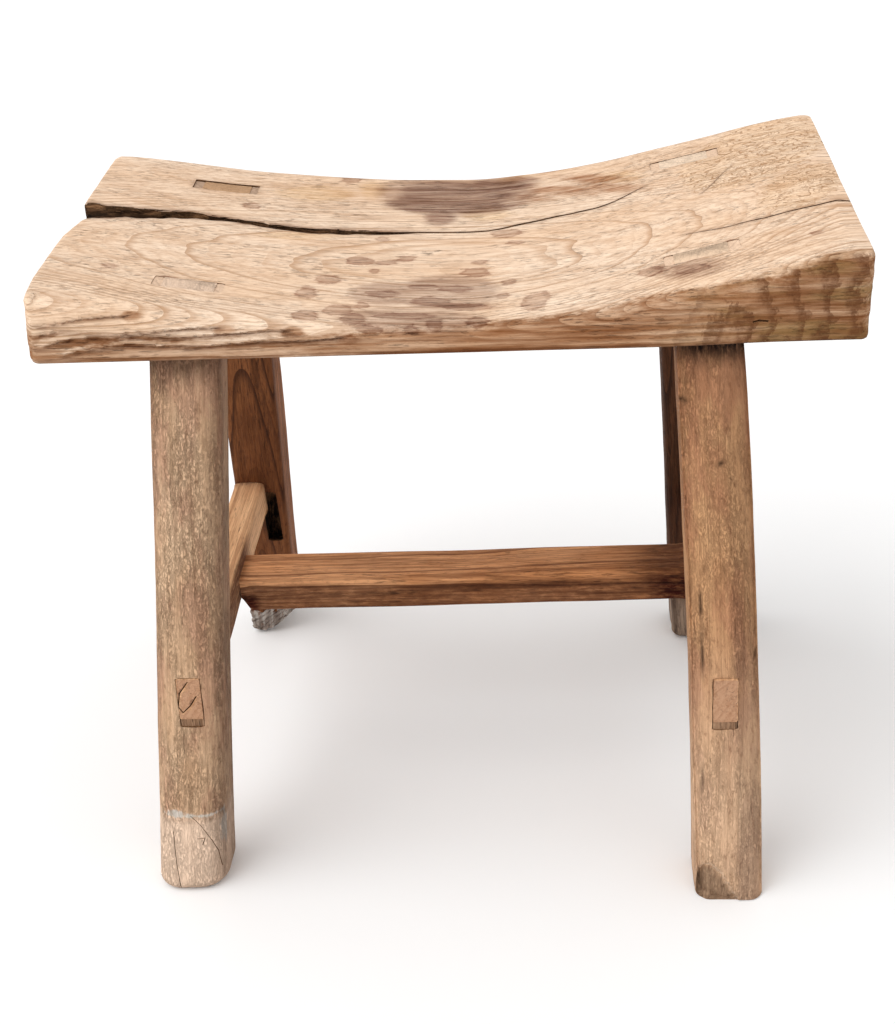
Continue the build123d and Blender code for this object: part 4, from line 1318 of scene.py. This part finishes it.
for nodeName, leg in legs.items():
    words = nodeName.split("_")
    piece = hewnLeg(words[0] + words[1].title() + words[2].title(), leg)
    piece.data.materials.append(woodMaterial(piece.name + "Wood", legLooks[nodeName]))
    hewLeg(piece, leg)
    cutters = [railMortise(nodeName + "RailMortise", leg, rail)
               for rail in rails.values() if nodeName in rail["legs"]]
    if nodeName == "leg_back_left":
        cutters.append(pocketCutter(leg))
    if nodeName == "leg_front_left":
        for number, line in enumerate(footCracks["lines"]):
            cutters += bladeCutters(f"footCrack{number}", {**footCracks, "line": line}, footCracks["plane"])
    cutAway(piece, cutters)
    paintLeg(piece, leg)
    handOver(piece, words[1] + "_leg_wood", nodeName)

# stretchers
railLooks = {
    "endStretcherWood": {
        "pale": colour(244, 197, 151), "warm": colour(228, 175, 129), "dark": colour(150, 100, 66),
        "deep": colour(78, 48, 30), "grimeAndShadeTint": colour(84, 46, 26), "bleachTint": colour(190, 147, 117),
        "pith": (30, -34), "ringGap": 4.0, "wander": 6, "rings": 0.5, "streaks": 0.5, "fibres": 0.45,
        "pores": 0.6, "flecks": 0.3, "rough": 0.78, "bump": 0.6,
    },
    "longStretcherWood": {
        "pale": colour(240, 178, 128), "warm": colour(208, 142, 92), "dark": colour(102, 55, 30),
        "deep": colour(46, 25, 15), "grimeAndShadeTint": colour(80, 34, 16), "pith": (30, -30), "ringGap": 4.4,
        "wander": 9, "rings": 0.8, "streaks": 0.55, "fibres": 0.5, "pores": 0.65, "flecks": 0.3,
        "rough": 0.74, "bump": 0.7,
    },
}


# Y of the ends of a leg's stretcher tenons
def tenonEnd(leg, z):
    return legFace(leg, z, 1) - leg["bulge"] * 0.8


def endRail(name, rail):
    shape, rings = railShape, []
    body = roundedSection(shape["width"] / 2, shape["height"] / 2, shape["round"], shape["around"])
    tenon = roundedSection(shape["tenon"] / 2, shape["height"] / 2, shape["tenonRound"], shape["around"])
    front, back = (legs[key] for key in rail["legs"])

    def reach(section, levels, start, stop):
        z = section[:, 1] + rail["z"]
        for share in np.linspace(0, 1, levels):
            rings.append(rows(section[:, 0] + rail["x"], start(z) + (stop(z) - start(z)) * share, z))

    frontIn, backIn = (lambda z: legFace(front, z, -1)), (lambda z: legFace(back, z, -1))
    reach(tenon, shape["tenonLevels"], lambda z: tenonEnd(front, z), frontIn)
    reach(body, shape["bodyLevels"], frontIn, backIn)
    reach(tenon, shape["tenonLevels"], backIn, lambda z: tenonEnd(back, z))
    return ringStack(name, rings)


# painted shade: beside the legs, how strong and over how many millimetres; on the inner side, least, more,
# and between which Y; on the long one, how high its lower part reaches, how strong, and where its ends
# darken, with dirt in the joint at the left end
railShadeAndDirt = {"nearLeg": (0.5, 6), "body": 170, "least": 0.1, "more": 0.75, "upTo": (46, 40),
            "lower": (154, 5, 0.72), "right": (96, 146), "rightTop": (158, 5, 0.25),
            "left": (140, 160), "leftTop": (154, 12)}
# hewn marks: cell across and along the rail, the sizes and heights of their layers, and how deep they go
railWear = {"across": 20.0, "along": 120.0, "layers": ((1, 0.9), (0.4, 0.4), (0.16, 0.16)), "depth": 0.45}
# the right one is hewn slimmer towards the back leg, on its inner side
slimmer = {"by": 6.5, "from": 22, "full": 80, "across": 12}


# hewn flats, worn corners; the tenons stay true
def hewRail(piece, seed, strength, along, ends):
    p, n = places(piece), normals(piece)
    cell = np.full(3, railWear["across"])
    cell[along] = railWear["along"]
    layers = [(cell * size, height, seed + i) for i, (size, height) in enumerate(railWear["layers"])]
    amount = layered(p, layers)
    low, high = ends
    body = stepUp(p[:, along], low + 1, low + 8) * stepUp(-p[:, along], -high + 1, -high + 8)
    movePlaces(piece, p + n * ((amount - railWear["depth"]) * body * strength)[:, None])


def slimRail(piece, rail, backLeg):
    p = places(piece)
    body = p[:, 1] < legFace(backLeg, p[:, 2], -1) + 0.5
    inner = np.clip((rail["x"] - p[:, 0]) / slimmer["across"], 0, 1)
    p[:, 0] += slimmer["by"] * stepUp(p[:, 1], slimmer["from"], slimmer["full"]) * inner * body
    movePlaces(piece, p)


def paintRail(piece, middle, order, grime):
    keepValue(piece, "grainPlace", (places(piece)[:, order] - np.array([0, *middle])) * mm)
    keepValue(piece, "grime", np.clip(grime, 0, 1))


# painted shade beside the legs and on the side towards the middle
def endRailShade(piece, rail, ends):
    y, n = places(piece)[:, 1], normals(piece)
    strong, reach = railShadeAndDirt["nearLeg"]
    nearLeg = np.exp(-np.minimum(np.abs(y - ends[0]), np.abs(y - ends[1])) / reach) * strong
    # painted shade: the side towards the middle is dark from the long stretcher to the front leg
    inward = stepUp(-n[:, 0] * math.copysign(1, rail["x"]), 0.3, 0.8)
    upTo, over = railShadeAndDirt["upTo"]
    dark = inward * (railShadeAndDirt["least"] + railShadeAndDirt["more"] * stepUp(upTo - y, 0, over))
    return np.maximum(nearLeg * (np.abs(y) < railShadeAndDirt["body"]), dark)


# cracks in the front left tenon's end, by the photo's pixels
tenonCracks = {"line": ((186.7, 684), (179.3, 694), (178.4, 706), (183.5, 711.5), (190, 706), (196, 697)),
               "width": 0.9, "depth": 3.5, "out": 2, "faceAt": 151}

endWood = woodMaterial("endStretcherWood", railLooks["endStretcherWood"])
for nodeName, rail in rails.items():
    side = nodeName.split("_")[2]
    piece = endRail("endStretcher" + side.title(), rail)
    piece.data.materials.append(endWood)
    frontLeg, backLeg = (legs[key] for key in rail["legs"])
    ends = legFace(frontLeg, rail["z"], -1), legFace(backLeg, rail["z"], -1)
    hewRail(piece, rail["seed"], 1.0, 1, ends)
    if side == "right":
        slimRail(piece, rail, backLeg)
    else:
        cutAway(piece, bladeCutters("tenonCrack", tenonCracks, tenonEnd(frontLeg, tenonCracks["faceAt"])))
    paintRail(piece, (rail["x"], rail["z"]), [1, 0, 2], endRailShade(piece, rail, ends))
    keepValue(piece, "bleached", (np.abs(normals(piece)[:, 1]) > 0.7) * 0.92)
    handOver(piece, "end_stretcher_wood", nodeName)

longShape = {"left": -167.5, "right": 160.0, "leftZ": 143.5, "rightZ": 147.5, "depth": 36, "height": 28,
             "rounds": (2, 2, 2.5, 2.5), "tenonDepth": 20, "tenonHeight": 12, "tenonLength": 24,
             "around": 72, "levels": 96, "seed": 100}
# its lower corner at the left is broken away
brokenCorner = {"by": 6.5, "below": 143, "fade": 12, "from": 146, "full": 167}


# its tenons lie halfway between its own axis and the end stretcher's
def longTenonZ(side):
    return (longShape[side + "Z"] + rails["end_stretcher_" + side]["z"]) / 2


def longRail():
    shape, left, right = longShape, longShape["left"], longShape["right"]
    body = roundedSection(shape["depth"] / 2, shape["height"] / 2, shape["rounds"], shape["around"])
    tenon = roundedSection(shape["tenonDepth"] / 2, shape["tenonHeight"] / 2, railShape["tenonRound"],
                           shape["around"])

    def tenonRings(side, start):
        return [rows(x, tenon[:, 0], tenon[:, 1] + longTenonZ(side))
                for x in np.linspace(start, start + shape["tenonLength"], 5)]

    rings = tenonRings("left", left - shape["tenonLength"])
    for x in np.linspace(left, right, shape["levels"]):
        z = shape["leftZ"] + (shape["rightZ"] - shape["leftZ"]) * (x - left) / (right - left)
        rings.append(rows(x, body[:, 0], body[:, 1] + z))
    return ringStack("longStretcher", rings + tenonRings("right", right))


def breakCorner(piece):
    p, corner = places(piece), brokenCorner
    low = np.clip((corner["below"] - p[:, 2]) / corner["fade"], 0, 1)
    besideTenon = np.abs(p[:, 2] - longTenonZ("left")) > longShape["tenonHeight"] / 2 + 0.2
    p[:, 0] += corner["by"] * low * stepUp(-p[:, 0], corner["from"], corner["full"]) * besideTenon
    movePlaces(piece, p)


# painted shade: darker low on the front and towards both ends, with dirt in the joint at the left end
def longShadeAndDirt(piece):
    p = places(piece)
    x, _, z = p.T
    top, over, strong = railShadeAndDirt["lower"]
    lower = stepUp(top - z + softNoise(p, (60, 20, 20), 103) * 2, 0, over) * strong
    top, over, share = railShadeAndDirt["rightTop"]
    right = stepUp(x, *railShadeAndDirt["right"]) * (1 - share + share * stepUp(top - z, 0, over))
    top, over = railShadeAndDirt["leftTop"]
    left = stepUp(-x, *railShadeAndDirt["left"]) * stepUp(top - z, 0, over)
    return largest(lower, right, left)


longPiece = longRail()
longPiece.data.materials.append(woodMaterial("longStretcherWood", railLooks["longStretcherWood"]))
hewRail(longPiece, longShape["seed"], 0.8, 0, (longShape["left"], longShape["right"]))
breakCorner(longPiece)
paintRail(longPiece, (0.0, (longShape["leftZ"] + longShape["rightZ"]) / 2), [0, 1, 2], longShadeAndDirt(longPiece))
handOver(longPiece, "long_stretcher_wood", "long_stretcher")

# wedges
wedgeLook = {
    "pale": colour(226, 188, 154), "warm": colour(204, 162, 126), "dark": colour(128, 90, 62),
    "deep": colour(60, 38, 24), "grimeAndShadeTint": colour(96, 64, 44), "bleachTint": colour(247, 213, 183),
    "pith": (14, 20), "ringGap": 3.0, "wander": 4, "rings": 0.5, "streaks": 0.5, "fibres": 0.5, "pores": 0.6,
    "flecks": 0.4, "rough": 0.85, "bump": 0.7,
}
wedgeWood = woodMaterial("wedgeWood", wedgeLook)
# gaps beside the tenons and how far under the saddle they end, in millimetres; dirt on the hidden ones
wedgeFit = {"gap": 0.1, "railGap": 0.2, "sunk": 0.1, "around": 28, "railShadeAndDirt": 0.5}
# the small key over each of the long stretcher's tenons
longKey = {"thin": 0.8, "round": 0.2, "lift": 0.05}


def finishWedge(piece, nodeName, dirt):
    piece.data.materials.append(wedgeWood)
    p = places(piece)
    keepValue(piece, "grainPlace", p[:, [2, 0, 1]] * mm)
    keepValue(piece, "grime", np.full(len(p), dirt))
    keepValue(piece, "bleached", stepUp(p[:, 2], underside + 4, underside + 8))
    handOver(piece, "wedge_wood", nodeName)


# beside the leg's tenon in the seat, to the right (1) or left (-1) of it
def seatWedge(name, leg, side):
    return leaningBlock(
        name, leg, np.linspace(underside + 3, 440, 7), lambda z: wedgeThickness(z) / 2,
        joinery["tenonDepth"] / 2 - wedgeFit["gap"],
        lambda z: side * (joinery["tenonWidth"] + wedgeThickness(z)) / 2, leg["seed"] + 9,
        ragged=0.2, count=wedgeFit["around"], flush=leg["proud"] - wedgeFit["sunk"])


# under the end stretcher's tenon, driven in from the leg's outer face
def railWedge(name, leg, rail):
    away, rings = math.copysign(1, leg["foot"][1]), []
    outFace = legFace(leg, railShape["wedgeAt"], 1) + away * (leg["bulge"] * 0.6 - 0.3)
    high = rail["z"] - railShape["height"] / 2
    for y in np.linspace(outFace, outFace - away * railShape["wedgeLength"], 8):
        drop = max(railWedgeDrop(leg, y), 0.4)
        section = roundedSection(railShape["tenon"] / 2 - wedgeFit["railGap"], drop / 2 - wedgeFit["gap"],
                                 min(0.15, drop / 4), wedgeFit["around"])
        rings.append(rows(section[:, 0] + rail["x"], y, section[:, 1] + high - drop / 2))
    return ringStack(name, rings)


def longWedge(name, nodeName, side):
    low, high = (np.array(corner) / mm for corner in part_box(nodeName))
    rings = []
    for x in np.linspace(low[0], high[0], 7):
        share = (x - low[0]) / (high[0] - low[0])
        share = share if side > 0 else 1 - share
        tall = longKey["thin"] + (high[2] - low[2] - longKey["thin"]) * share - wedgeFit["gap"]
        section = roundedSection((high[1] - low[1]) / 2 - wedgeFit["gap"], tall / 2, longKey["round"],
                                 wedgeFit["around"])
        rings.append(rows(x, section[:, 0], section[:, 1] + low[2] + tall / 2 + longKey["lift"]))
    return ringStack(name, rings)


for nodeName, leg in legs.items():
    _, front, side = nodeName.split("_")
    place = front.title() + side.title()
    outward = math.copysign(1, leg["foot"][0])
    for which, way in (("outer", outward), ("inner", -outward)):
        piece = seatWedge(f"seatWedge{place}{which.title()}", leg, way)
        finishWedge(piece, f"seat_wedge_{front}_{side}_{which}", leg["wedgeDirt"])
    piece = railWedge(f"railWedge{place}", leg, rails["end_stretcher_" + side])
    finishWedge(piece, f"rail_wedge_{front}_{side}", wedgeFit["railShadeAndDirt"])

for side, way in (("left", -1), ("right", 1)):
    nodeName = "long_wedge_" + side
    finishWedge(longWedge("longWedge" + side.title(), nodeName, way), nodeName, wedgeFit["railShadeAndDirt"])

# light, floor, camera
light = {"sky": 0.83, "sun": 1.35, "sunAngle": 55, "sunFrom": (-0.75, -0.35, 1.0)}


def plainStudio():
    scene = bpy.context.scene
    world = bpy.data.worlds.new("studio")
    scene.world = world
    world.use_nodes = True
    sky = Nodes(world.node_tree)
    seen = sky.node("ShaderNodeLightPath", {}, "Is Camera Ray")
    background = world.node_tree.nodes["Background"].inputs
    sky.put((1, 1, 1, 1), background["Color"])
    sky.put(sky.node("ShaderNodeMapRange", {"Value": seen, "To Min": light["sky"], "To Max": 1.0}),
            background["Strength"])

    sun = bpy.data.objects.new("sun", bpy.data.lights.new("sun", "SUN"))
    sun.data.energy = light["sun"]
    sun.data.angle = math.radians(light["sunAngle"])
    sun.rotation_euler = Vector(light["sunFrom"]).to_track_quat("Z", "Y").to_euler()
    scene.collection.objects.link(sun)

    floorMesh = bpy.data.meshes.new("floor")
    floorMesh.from_pydata([(-40, -40, 0), (40, -40, 0), (40, 40, 0), (-40, 40, 0)], [], [(0, 1, 2, 3)])
    floor = bpy.data.objects.new("floor", floorMesh)
    scene.collection.objects.link(floor)
    paper = Shader("whitePaper")
    for name, value in (("Base Color", (0.97, 0.97, 0.97, 1)), ("Roughness", 1.0),
                        ("Specular IOR Level", 0.0)):
        paper.put(value, paper.surface[name])
    floorMesh.materials.append(paper.material)


def photoCamera():
    scene = bpy.context.scene
    data = bpy.data.cameras.new("photoCamera")
    data.sensor_width = 36
    data.lens = camera["focal"] * 36 / camera["height"]
    data.clip_start, data.clip_end = 0.05, 100
    eye = bpy.data.objects.new("photoCamera", data)
    turn = Matrix([camera["right"], camera["up"], -camera["forward"]]).transposed().to_4x4()
    eye.matrix_world = Matrix.Translation(Vector(camera["place"] * mm)) @ turn
    scene.collection.objects.link(eye)
    scene.camera = eye
    scene.view_settings.view_transform = "Standard"


plainStudio()
photoCamera()
print("studio ready")
